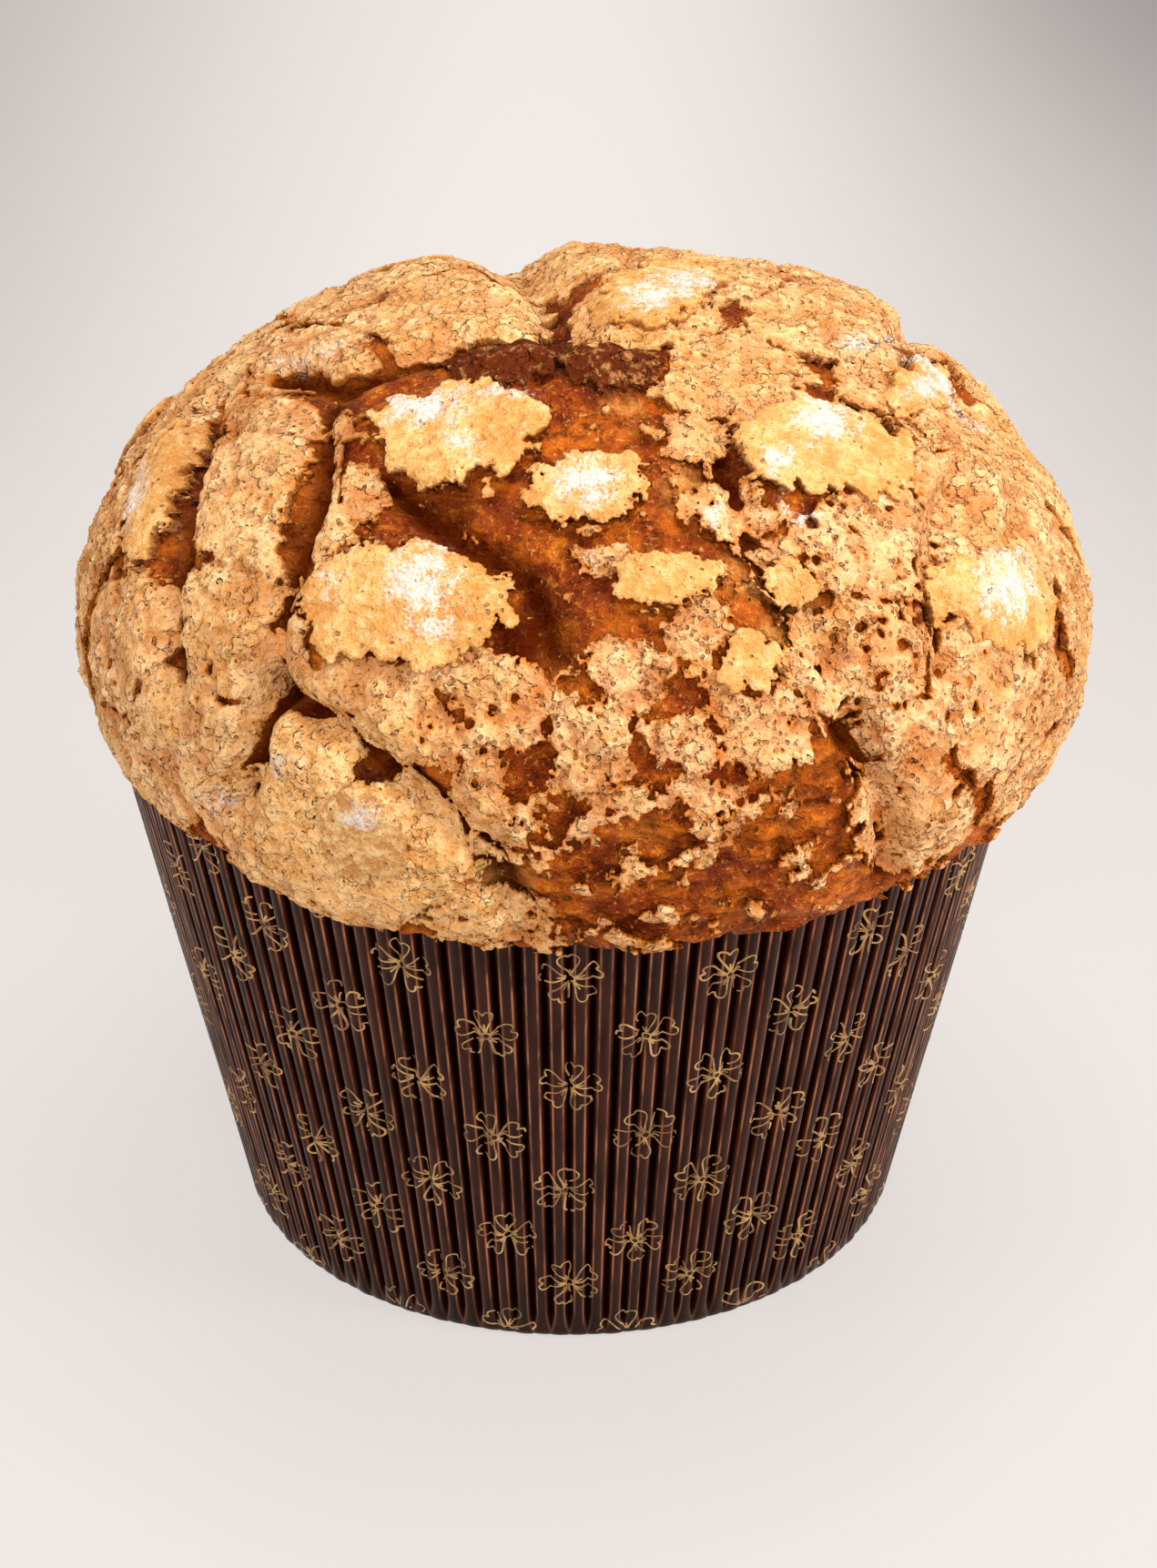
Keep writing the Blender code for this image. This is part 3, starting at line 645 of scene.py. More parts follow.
def plates_field(plates, thickness, tooth, opened=None):
    """For each point: mm inside its plate, which plate that is, and mm from the next plate.
    opened, when given, changes the first of the three."""
    names = list(plates)
    axes = [plate_frame(plate) for plate in plates.values()]
    halves = np.array([plate[3] for plate in plates.values()])
    porous = openness(names, POROUS_FRONT, POROUS_BACK)
    apart = np.array([CRACK_APART if name.startswith(APART) else CRACK_JOINED for name in names])

    def field(d, p, hollow):
        covers = np.array([cover(d, a) for a in axes])
        label = covers.argmax(axis=0)
        own = covers.max(axis=0)
        covers[label, np.arange(len(d))] = -9.0
        rival = np.maximum(covers.max(axis=0), 0.0)
        crack = CRACK * (apart[label] + 1.6 * fbm(p, 15.0, 3, seed=3.0))
        room = np.minimum(own, own - rival - crack)
        for number in range(len(names)):
            mine = np.flatnonzero((label == number) & (own > -0.5))
            if len(mine):
                room[mine] += RAGGED * wander(d[mine], RAGGED_SCALE, number * 7.3 + thickness)
        room = room * halves[label]
        room += tooth * (1.0 + 0.8 * porous[label]) * fbm(p, 3.6, 4, 0.75, seed=thickness)
        if opened:
            room = opened(d, p, room, hollow, 0.35 + 0.9 * porous[label])
        rim = lip_tilt(d) - tilt_of(d)
        room = np.minimum(room, rim * 1.5 + RIM_SLACK + 1.3 * fbm(p, 5.0, 4, 0.65, seed=4.0))
        return room, label, (own - rival) * halves[label]

    return field


def opened_glaze(d, p, room, hollow, lace):
    """Adds crumbs on the bare dough and takes out holes, torn folds and cleared strips."""
    crumbs = fbm(p, 6.0, 4, 0.66, seed=9.0) + round_mask(d, CRUMBS) - CRUMB_LEVEL
    room = np.maximum(room, 3.0 * crumbs)
    pushed = p + 0.8 * np.stack([smooth_noise(p / 1.7 + k) for k in (3.0, 11.0, 29.0)], -1)
    away, draw = spots(pushed, HOLE_SPACING, seed=11)
    holed = ramp(fbm(p, 9.0, 2, seed=21.0), -0.3, 0.35)
    size = (HOLE_LEAST + HOLE_SPREAD * draw ** 1.5) * lace * holed
    room = np.minimum(room, (away - size) * 1.2)
    torn = FOLD_GAP * (FOLD_OPEN - hollow) + 3.4 * fbm(p, 11.0, 4, 0.65, seed=33.0)
    azimuth = azimuth_of(d)
    room = joined(room, torn + TORN_LESS * ramp(azimuth, *TORN_AZIMUTH), TORN_LESS)
    cleared = 1.0 - 2.0 * ellipse_mask(d, CLEARED) + 0.8 * fbm(p, 5.0, 4, 0.65, seed=63.0)
    return np.minimum(room, 3.0 * cleared)


LIP_SAMPLES = 360
LIP_SEARCH = (85.0, 108.0, 231)  # first and last tilt, and how many are tried


def lip_table():
    """At each azimuth, the tilt at which the dome's side turns in."""
    azimuths = np.arange(LIP_SAMPLES) * 360.0 / LIP_SAMPLES - 180.0
    tilts = np.linspace(*LIP_SEARCH)
    found = []
    for azimuth in azimuths:
        d = np.array([unit(azimuth, tilt) for tilt in tilts])
        found.append(tilts[np.argmax(lip_floor(d) < side_reach(d)[0])])
    return azimuths, np.array(found)


LIP_TABLE = lip_table()


def lip_tilt(d):
    azimuth = azimuth_of(d)
    return np.interp(azimuth, *LIP_TABLE, period=360.0)


# ---- shader helpers
def colour(code):
    """A linear colour from a web colour code."""
    parts = [int(code[i:i + 2], 16) / 255.0 for i in (1, 3, 5)]
    return (*(c / 12.92 if c <= 0.04045 else ((c + 0.055) / 1.055) ** 2.4 for c in parts), 1.0)


class Paint:
    """Builds one Principled material, node by node. A web code stands for its colour."""

    def __init__(self, name):
        self.material = bpy.data.materials.new(name)
        self.material.use_nodes = True
        self.tree = self.material.node_tree
        self.shader = self.tree.nodes["Principled BSDF"]
        self.place = self.node("TexCoord").outputs["Object"]

    def node(self, kind):
        return self.tree.nodes.new("ShaderNode" + kind)

    def put(self, value, socket):
        if hasattr(value, "is_linked"):
            self.tree.links.new(value, socket)
        else:
            socket.default_value = colour(value) if isinstance(value, str) else value

    def set(self, **sockets):
        for name, value in sockets.items():
            self.put(value, self.shader.inputs[name.replace("_", " ")])

    def attribute(self, name):
        node = self.node("Attribute")
        node.attribute_name = name
        return node.outputs["Fac"]

    def math(self, operation, a, b):
        node = self.node("Math")
        node.operation = operation
        self.put(a, node.inputs[0])
        self.put(b, node.inputs[1])
        return node.outputs[0]

    def times(self, a, b):
        return self.math("MULTIPLY", a, b)

    def plus(self, a, b):
        return self.math("ADD", a, b)

    def most(self, a, b):
        return self.math("MAXIMUM", a, b)

    def lack(self, a):
        return self.math("SUBTRACT", 1.0, a)

    def mix(self, share, a, b):
        node = self.node("Mix")
        node.data_type = "RGBA"
        self.put(share, node.inputs[0])
        self.put(a, node.inputs[6])
        self.put(b, node.inputs[7])
        return node.outputs[2]

    def layered(self, base, *layers):
        """Lays colours over a base, each by its own share."""
        for share, tint in layers:
            base = self.mix(share, base, tint)
        return base

    def span(self, value, low, high, to_low=0.0, to_high=1.0):
        node = self.node("MapRange")
        node.interpolation_type = "SMOOTHSTEP"
        for socket, number in zip(node.inputs, (value, low, high, to_low, to_high)):
            self.put(number, socket)
        return node.outputs[0]

    def stretched(self, x, y, z):
        node = self.node("VectorMath")
        node.operation = "MULTIPLY"
        self.put(self.place, node.inputs[0])
        node.inputs[1].default_value = (x, y, z)
        return node.outputs[0]

    def noise(self, width, detail=3.0, rough=0.55, place=None, warp=0.0):
        """Noise whose largest cells are `width` mm wide."""
        node = self.node("TexNoise")
        self.put(place or self.place, node.inputs["Vector"])
        node.inputs["Scale"].default_value = 1.0 / (width * MM)
        node.inputs["Detail"].default_value = detail
        node.inputs["Roughness"].default_value = rough
        node.inputs["Distortion"].default_value = warp
        return node.outputs["Fac"]

    def cells(self, width, place, feature="F1"):
        node = self.node("TexVoronoi")
        node.feature = feature
        self.put(place, node.inputs["Vector"])
        node.inputs["Scale"].default_value = 1.0 / (width * MM)
        return node.outputs["Distance"]

    def warped(self, amount, width):
        """The place, pushed about by noise, up to `amount` mm."""
        swirl = self.node("TexNoise")
        self.put(self.place, swirl.inputs["Vector"])
        swirl.inputs["Scale"].default_value = 1.0 / (width * MM)
        node = self.node("VectorMath")
        node.operation = "MULTIPLY_ADD"
        self.put(swirl.outputs["Color"], node.inputs[0])
        node.inputs[1].default_value = (2.0 * amount * MM,) * 3
        self.put(self.place, node.inputs[2])
        return node.outputs[0]

    def bump(self, height, distance, below=None):
        node = self.node("Bump")
        node.inputs["Strength"].default_value = 1.0
        node.inputs["Distance"].default_value = distance * MM
        self.put(height, node.inputs["Height"])
        if below is not None:
            self.put(below, node.inputs["Normal"])
        return node.outputs[0]


SUGAR_WHITE = "#D6CAC0"
CRUST_ROUGHNESS = 0.6
DOUGH_TINT = (1.0, 0.5, 0.2, 1.0)  # of the shine
PAPER_TINT = (1.0, 0.72, 0.62, 1.0)


def sugared(p, base, rough):
    """Powder sugar: white where it lies thick, breaking into clumps and grains at its rim."""
    grain = p.times(p.noise(0.6, 1.0, 0.7), 2.2)
    drift = p.times(p.noise(3.2, 3.0, 0.65), 3.2)
    level = p.plus(p.attribute("sugar"), p.plus(grain, drift))
    share = p.times(p.span(level, 2.9, 4.0, 0.0, 0.92), p.span(p.attribute("sugar"), 0.04, 0.3))
    return p.mix(share, base, SUGAR_WHITE), p.most(rough, share)


def pores(p, width, spread, largest):
    """Small dark holes: 1 in a hole. They are larger where spread is high."""
    hole = p.cells(width, p.warped(0.4, 1.3))
    size = p.span(spread, 0.40, 0.78, 0.03, largest)
    return p.span(p.math("SUBTRACT", size, hole), -0.10, 0.08)


def chips(p, width, share):
    """Thin broken lines between small chips of crust: 1 on a line."""
    line = p.cells(width, p.warped(1.2, 2.2), "DISTANCE_TO_EDGE")
    wide = p.span(p.noise(5.0, 4.0, 0.7), share, share + 0.22, 0.0, 0.13)
    return p.span(p.math("SUBTRACT", wide, line), -0.03, 0.05)


def toasted_edge(p, width, low, high):
    return p.span(p.plus(p.attribute("edge"), p.times(p.noise(width, 4.0, 0.7), 0.8)), low, high)


def glaze_material():
    """Tan nut glaze: pits, chips and pores, toasted at its broken edges, burnt in places, with painted
    shade in its low spots, creases and under its edges, and painted light where it is lightened.
    """
    p = Paint("almond_glaze")
    coarse = p.noise(3.0, 3.5, 0.75)
    fine = p.noise(0.8, 1.0, 0.6)
    porous = p.attribute("porous")
    cobble = p.cells(2.3, p.warped(0.9, 1.5))
    crease = p.times(p.span(cobble, 0.40, 0.72), p.span(p.noise(9.0, 3.0), 0.36, 0.56))
    pore = pores(p, 1.4, p.plus(p.noise(6.0, 3.0), p.times(porous, 0.2)), 0.30)
    line = p.times(chips(p, 3.6, 0.54), p.lack(porous))
    holes = p.most(p.times(pore, 0.65), p.times(line, 0.28))
    burnt = p.span(p.plus(p.attribute("burnt"), coarse), 1.0, 1.5)
    base = p.mix(p.span(p.noise(16.0, 3.0, 0.6), 0.38, 0.62), "#D0995B", "#E9BD84")
    base = p.layered(
        base,
        # partly the crust's own mottling, partly painted shade on the low parts of the noises that also
        # bump it and painted light on their high parts
        (p.span(coarse, 0.34, 0.50, 0.5, 0.0), "#B2661A"),
        (p.span(coarse, 0.52, 0.68, 0.0, 0.65), "#F0CDA2"),
        (p.span(fine, 0.30, 0.45, 0.4, 0.0), "#A65C18"),
        (p.times(porous, p.span(p.noise(7.0, 3.0), 0.35, 0.6, 0.0, 0.6)), "#D4A270"),
        # painted shade in the glaze's low spots
        (p.times(p.attribute("low"), 0.6), "#AA540C"),
        (toasted_edge(p, 2.4, 0.78, 1.4), "#B5620F"),
        # painted shade at the foot of each broken edge's wall, under the edge
        (p.attribute("foot"), "#5A2200"),
        # painted shade in the creases between the crust's small lumps
        (p.times(crease, 0.4), "#AA5A12"),
        (holes, "#8C440A"),
        # partly paler crust, partly painted light that lightens the lobes below and the crown
        (p.times(p.attribute("pale"), 0.7), p.mix(p.span(coarse, 0.36, 0.6), "#DC9A4A", "#F4C686")),
        (burnt, p.mix(p.span(coarse, 0.49, 0.66), "#5C2408", "#A8723E")))
    base, rough = sugared(p, base, CRUST_ROUGHNESS)
    normal = p.bump(coarse, 1.5)
    normal = p.bump(p.lack(crease), 0.65, normal)
    normal = p.bump(fine, 0.35, normal)
    normal = p.bump(p.lack(p.most(pore, p.times(line, 0.2))), 0.45, normal)
    p.set(Base_Color=base, Roughness=rough, Normal=normal,
          Specular_IOR_Level=p.span(burnt, 0.0, 1.0, 0.16, 0.05))
    return p.material


def flake_material():
    """Smoother, yellower flakes with few pores, with painted shade in their low spots and under their
    edges.
    """
    p = Paint("sugar_flake")
    coarse = p.noise(2.2, 3.0, 0.75)
    fine = p.noise(0.8, 1.0, 0.6)
    pore = pores(p, 1.9, p.noise(6.0, 3.0), 0.26)
    holes = p.most(p.times(pore, 0.7), p.times(chips(p, 4.2, 0.56), 0.3))
    base = p.mix(p.span(p.noise(10.0, 3.0), 0.38, 0.62), "#CB8F4A", "#DDA965")
    base = p.layered(
        base,
        # partly the flakes' own mottling, partly painted shade on the low parts of the noise that also
        # bumps them and painted highlight on its high parts
        (p.span(coarse, 0.38, 0.50, 0.55, 0.0), "#BC7828"),
        (p.span(coarse, 0.52, 0.68, 0.0, 0.5), "#EBCB98"),
        # painted shade in the flakes' low spots
        (p.times(p.attribute("low"), 0.5), "#B36D26"),
        (toasted_edge(p, 1.8, 0.95, 1.6), "#B8702A"),
        (p.times(p.attribute("toasted"), 0.75), p.mix(p.span(coarse, 0.42, 0.62), "#B47C42", "#E2B980")),
        # painted shade at the foot of each broken edge's wall, under the edge
        (p.attribute("foot"), "#6E3410"),
        (holes, "#8A4A18"))
    base, rough = sugared(p, base, CRUST_ROUGHNESS)
    normal = p.bump(fine, 0.35, p.bump(coarse, 1.2))
    normal = p.bump(p.lack(pore), 0.4, normal)
    p.set(Base_Color=base, Roughness=rough, Normal=normal, Specular_IOR_Level=0.25)
    return p.material


def dough_material():
    """Bare baked dough: amber to dark brown, with painted shade in its folds and low spots."""
    p = Paint("baked_dough")
    coarse = p.noise(4.2, 4.0, 0.72, p.stretched(1.0, 1.0, 1.5), warp=0.5)
    fine = p.noise(0.9, 1.0, 0.6)
    golden = p.span(p.plus(p.attribute("golden"), p.noise(5.0, 3.0, 0.6)), 0.85, 1.45, 0.0, 0.85)
    burnt = p.span(p.plus(p.attribute("burnt"), p.noise(3.0, 4.0, 0.7)), 0.85, 1.3)
    base = p.mix(p.span(p.noise(13.0, 4.0, 0.6, warp=0.6), 0.36, 0.64), "#782806", "#B0540F")
    base = p.layered(
        base,
        # partly the dough's own mottling, partly painted shade on the low parts of the noise that also
        # bumps it and painted light on its high parts
        (p.span(coarse, 0.36, 0.50, 0.7, 0.0), "#3A0800"),
        (p.span(coarse, 0.52, 0.70, 0.0, 0.6), "#D47A18"),
        (golden, p.mix(p.span(coarse, 0.38, 0.6), "#B4661C", "#E2A458")),
        # partly the dough's own flecks, partly painted light on the high parts of the fine bump
        (p.span(fine, 0.58, 0.76, 0.0, 0.5), "#DC9A4C"),
        # painted shade in the folds and at the DEEP spots
        (p.times(p.attribute("hollow"), 0.88), "#360800"),
        # painted shade in the dough's low spots
        (p.times(p.attribute("low"), 0.6), "#3C0B00"),
        (p.times(burnt, 0.85), "#32140A"))
    base, rough = sugared(p, base, p.span(p.noise(5.0, 2.0), 0.3, 0.7, 0.42, 0.7))
    p.set(Base_Color=base, Roughness=rough, Normal=p.bump(fine, 0.35, p.bump(coarse, 2.2)),
          Specular_IOR_Level=p.span(p.attribute("hollow"), 0.3, 1.0, 0.3, 0.04), Specular_Tint=DOUGH_TINT)
    return p.material


def paper_material():
    """Dark brown paper with upright streaks, a painted highlight beside the crest of each flute, and
    painted shade in its valleys and towards its foot.
    """
    p = Paint("pleated_paper")
    depth = p.attribute("valley")
    streak = p.noise(2.6, 3.0, 0.6, p.stretched(1.0, 1.0, 0.05))
    patchy = p.noise(2.0, 3.0, 0.6, p.stretched(1.0, 1.0, 0.04))
    # painted highlight: a lighter band on each side of a flute's crest, made patchy by noise
    painted_glint = p.times(p.span(depth, 0.12, 0.24), p.span(depth, 0.27, 0.38, 1.0, 0.0))
    base = p.mix(p.span(streak, 0.38, 0.64), "#1A0703", "#301108")
    base = p.layered(
        base,
        # painted shade: the flutes' valleys near black
        (p.span(depth, 0.42, 0.80), "#0A0201"),
        # the painted highlight beside each crest
        (p.times(painted_glint, p.span(patchy, 0.36, 0.66, 0.15, 0.95)), "#9E6242"),
        # painted shade: the paper darker towards its foot
        (p.times(p.attribute("foot"), 0.7), "#140503"))
    fibres = p.noise(1.2, 3.0, 0.6, p.stretched(1.0, 1.0, 0.3))
    p.set(Base_Color=base, Roughness=0.3, Specular_IOR_Level=p.span(depth, 0.15, 0.6, 0.15, 0.0),
          Normal=p.bump(fibres, 0.05), Specular_Tint=PAPER_TINT)
    return p.material


def print_material():
    p = Paint("gold_print")
    base = p.mix(p.span(p.noise(3.0, 3.0), 0.35, 0.65), "#7A5733", "#BC935A")
    p.set(Base_Color=base, Roughness=0.42, Metallic=0.35)
    return p.material


# ---- the cake
WRINKLED_TILT = (78.0, 112.0)  # the bare dough is wrinkled between these
WRINKLE_SOFT = 6.0
DOUGH_SINK = 0.55  # how far the dough's relief lies below the bare form on average
DOUGH_RANGE = (-2.4, 0.5)


def dough_relief(d, p):
    """Height over the bare form in mm, and how far each point lies below its surroundings, which the paint
    darkens as painted shade.
    """
    tilt = tilt_of(d)
    broad = 0.75 * fbm(p, 11.0, 3, 0.5, seed=31.0)
    skin = 0.42 * fbm(p, 3.6, 3, 0.55, seed=41.0)
    folded = p * np.array((0.55, 0.55, 2.1)) + 2.2 * smooth_noise(p / 14.0)[:, None]
    creases = np.abs(smooth_noise(folded / 6.5 + 5.0)) + 0.5 * np.abs(smooth_noise(folded / 2.9 + 9.0))
    first, last = WRINKLED_TILT
    wrinkled = ramp(tilt, first - WRINKLE_SOFT, first + WRINKLE_SOFT)
    wrinkled *= 1.0 - ramp(tilt, last - WRINKLE_SOFT, last + WRINKLE_SOFT)
    flaky = fbm(p * np.array((1.0, 1.0, 1.8)), 3.2, 3, 0.65, seed=71.0)
    height = broad + skin + wrinkled * (2.0 * (creases - 0.45) + 0.6 * flaky)
    low = ramp(-(skin + 0.5 * broad + wrinkled * (1.4 * (creases - 0.4) + 0.4 * flaky)), 0.0, 0.75)
    return np.clip(height - DOUGH_SINK, *DOUGH_RANGE), low


def add_dough(material):
    """The whole dome of dough, from its top round to under the lip."""
    azimuth = np.arange(DOUGH_SIDES) * 360.0 / DOUGH_SIDES
    tilt = np.linspace(0.0, TILT_LIMIT, DOUGH_ROWS + 1)[1:]
    a, t = np.radians(np.meshgrid(azimuth, tilt))
    d = np.stack((np.sin(t) * np.cos(a), np.sin(t) * np.sin(a), np.cos(t)), -1).reshape(-1, 3)
    d = np.concatenate((d, [(0.0, 0.0, 1.0)]))
    reach, hollow = dough_reach(d)
    p = d * reach[:, None]
    height, low = dough_relief(d, p)
    points = np.array(HEART) + d * (reach + height)[:, None]
    index = np.arange(len(d) - 1).reshape(DOUGH_ROWS, DOUGH_SIDES)
    top = np.stack((np.full(DOUGH_SIDES, len(d) - 1), index[0], np.roll(index[0], -1)), -1)
    faces = np.concatenate((ring_faces(index), top))
    # hollow and low drive the painted shade in the folds and low spots
    layers = {"hollow": np.maximum(hollow, round_mask(d, DEEP)), "low": low, "burnt": round_mask(d, BURNT),
              "golden": round_mask(d, GOLDEN), "sugar": 0.45 * ellipse_mask(d, SUGAR)}
    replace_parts(add_piece("dough", points, faces, material, layers), "cake")


def crust_relief(p):
    """Lumps, knobs and creases of the crust, in mm."""
    lumps = 0.95 * fbm(p, 6.5, 4, 0.58, seed=51.0)
    away, gap = spots(p + 0.9 * smooth_noise(p / 2.3)[:, None], 3.4, seed=7, ridges=True)
    creases = bell(gap, 0.55) * ramp(fbm(p, 10.0, 2, seed=91.0), -0.35, 0.3)
    grain = 0.24 * fbm(p, 1.6, 2, 0.7, seed=61.0)
    return lumps + grain - 0.13 * away + 0.2 - 0.3 * creases


def glaze_lift(d, p, room, label, seam):
    """Height over the dough in mm, and the values for the paint that go with it."""
    inside = np.maximum(room, 0.0)
    edge = 1.0 - np.exp(-inside / EDGE_REACH)
    relief = crust_relief(p) + 1.3 * round_mask(d, BURNT) * fbm(p, 4.0, 3, 0.6, seed=101.0)
    groove = bell(seam, SEAM_WIDTH) * ramp(room, 0.0, 1.5)
    warp = 0.55 * smooth_noise(p / 17.0 + 8.0)
    height = GLAZE_THICKNESS * (GLAZE_EDGE + (1.0 - GLAZE_EDGE) * edge) - GLAZE_SINK
    height += (relief + warp) * (0.45 + 0.55 * edge) - SEAM_DEPTH * groove
    # low is how far a point lies below its surroundings, which the paint darkens as painted shade
    return height, {"low": ramp(-relief + 0.7 * groove, 0.0, 0.75)}


def glaze_shade(d, label):
    return {"porous": glaze_porous[label], "sugar": ellipse_mask(d, SUGAR), "pale": round_mask(d, PALE_AND_LIT),
            "burnt": np.maximum(glaze_burnt[label], round_mask(d, BURNT))}


def flake_lift(d, p, room, label, seam):
    """As for the glaze: smoother, with a curled edge."""
    inside = np.maximum(room, 0.0)
    edge = 1.0 - np.exp(-inside / 0.5)
    curl = 0.35 * bell(inside - 1.2, 1.5)
    relief = 0.40 * fbm(p, 8.0, 3, 0.5, seed=71.0) + 0.20 * fbm(p, 1.9, 3, 0.6, seed=81.0)
    height = FLAKE_THICKNESS * (0.64 + 0.12 * edge) + curl + relief * (0.5 + 0.5 * edge)
    # low is how far a point lies below its surroundings, which the paint darkens as painted shade
    return height, {"low": ramp(-relief, 0.0, 0.5)}


def flake_shade(d, label):
    toasted = label == list(FLAKES).index("flake_lobe")
    return {"sugar": 1.1 * ellipse_mask(d, SUGAR), "toasted": toasted * 1.0}


# ---- the paper case
CASE_POINTS = 12  # round one flute
CASE_ROWS = 26
CASE_FOOT = (0.0, 0.25, 0.7, 1.2, 2.0)  # heights of the rows at the rounded foot
INNER_FROM = 60.0  # the wall's inside is only made above this
FLUTE_POWER = 0.95
FLUTE_FADE = 7.0  # the flutes run out below this height
BASE_ROUND = 1.6
PAPER_SLACK = 0.12  # mm that the crests lie inside the solid's
# painted shade: FOOT_SHADE gives the heights over which the paper is painted darker towards its foot
FOOT_SHADE = (1.0, 16.0)  # heights between which the paper darkens towards its foot


def flute_depth(turns):
    """How far below the crest the paper lies; turns counts flutes, a valley at each whole one."""
    return FLUTE_DEPTH * (1.0 - np.abs(np.sin(np.pi * turns)) ** FLUTE_POWER)


def case_point(angle, z):
    """A point of the pleated wall from an angle in turns of the case, and its depth share."""
    turns = angle * FLUTE_COUNT
    whole = np.floor(turns)
    sway = 0.10 * np.sin(whole * 2.39 + z * 0.045) + 0.05 * np.sin(whole * 5.1)
    depth = flute_depth(turns) * (0.15 + 0.85 * ramp(z, 0.0, FLUTE_FADE))
    share = depth / FLUTE_DEPTH
    crest = CASE_BASE_RADIUS + CASE_FLARE * z
    lift = 0.10 * np.sin(whole * 3.7 + z * 0.06)
    base = np.clip(BASE_ROUND - z, 0.0, BASE_ROUND)
    rounded = BASE_ROUND - np.sqrt(BASE_ROUND ** 2 - base ** 2)
    radius = crest - depth - rounded - PAPER_SLACK + lift * (1.0 - share)
    turn = 2.0 * np.pi * (angle + sway * (1.0 - share) * 0.2 / FLUTE_COUNT)
    return np.stack((radius * np.cos(turn), radius * np.sin(turn), z), -1), share


def add_case(material):
    """The pleated wall, its foot, and the upper part of its smooth inside."""
    around = FLUTE_COUNT * CASE_POINTS
    angle = np.arange(around) / around
    z = np.concatenate((CASE_FOOT[:-1], np.linspace(CASE_FOOT[-1], CASE_HEIGHT, CASE_ROWS)))
    a, h = np.meshgrid(angle, z)
    wall, share = case_point(a.ravel(), h.ravel())
    rings = []
    for height in (CASE_HEIGHT, INNER_FROM):
        r = CASE_BASE_RADIUS + CASE_FLARE * height - CASE_WALL
        turn = 2 * np.pi * angle
        rings.append(np.stack((r * np.cos(turn), r * np.sin(turn), np.full(around, height)), -1))
    points = np.concatenate((wall, *rings, [(0.0, 0.0, 0.0)]))
    index = np.arange(len(points) - 1).reshape(-1, around)
    floor = np.stack((np.roll(index[0], -1), index[0], np.full(around, len(points) - 1)), -1)
    faces = np.concatenate((ring_faces(index)[:, ::-1], floor))
    # valley is how deep each point lies in its flute, for the painted shade in the valleys
    layers = {"valley": np.concatenate((share, np.full(2 * around, 0.6), [0.5])),
              # foot drives the painted shade towards the bottom of the case
              "foot": 1.0 - ramp(points[:, 2], *FOOT_SHADE)}
    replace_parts(add_piece("paper_case_fine", points, faces, material, layers), "paper_case")


BLOSSOM_RADIUS = 5.3
BLOSSOM_COLUMNS = 18
BLOSSOM_ROWS = 9
BLOSSOM_RISE = 12.0
PETALS = 5
# One side of a petal, out from the blossom's middle to its notch: away from it and across.
PETAL = (
    (0.17, 0.03), (0.36, 0.10), (0.58, 0.24), (0.78, 0.34), (0.94, 0.33), (1.02, 0.21), (1.0, 0.09),
    (0.87, 0.0),
)
RING_SHARE = 0.13  # the ring in the blossom's middle, as a share of its radius
RING_SIDES = 16
STAMEN_FROM = 0.16
STAMEN_TO = (0.38, 0.52)
PRINT_SEED = 21
LINE_WIDTH = 0.32
LINE_LIFT = 0.05
LINE_STEP = 0.28


def smoothed(line):
    """Rounds the corners of a line."""
    for _ in range(2):
        step = np.diff(line)
        quarters = np.stack((line[:-1] + 0.25 * step, line[:-1] + 0.75 * step), 1)
        line = np.concatenate((line[:1], quarters.ravel(), line[-1:]))
    return line


def blossom_strokes(draw):
    """The lines of one five-petalled blossom, in mm across and up as complex numbers."""
    strokes = []
    size = BLOSSOM_RADIUS * draw.uniform(0.94, 1.06)
    turn = draw.uniform(0.0, math.tau)
    for k in range(PETALS):
        axis = size * np.exp(1j * (turn + math.tau * (k + draw.uniform(-0.06, 0.06)) / PETALS))
        wide = draw.uniform(0.85, 1.1)
        half = smoothed(np.array([complex(away, wide * across) for away, across in PETAL]))
        strokes.append(axis * np.concatenate((half, half[::-1].conj())))
        strokes.append(axis * np.array((STAMEN_FROM, draw.uniform(*STAMEN_TO))))
    strokes.append(RING_SHARE * size * np.exp(2j * np.pi * np.arange(RING_SIDES + 1) / RING_SIDES))
    return strokes


def even_line(line):
    """The same line with points about LINE_STEP apart."""
    lengths = np.concatenate(([0.0], np.cumsum(np.abs(np.diff(line)))))
    count = max(2, int(lengths[-1] / LINE_STEP) + 1)
    return np.interp(np.linspace(0.0, lengths[-1], count), lengths, line)


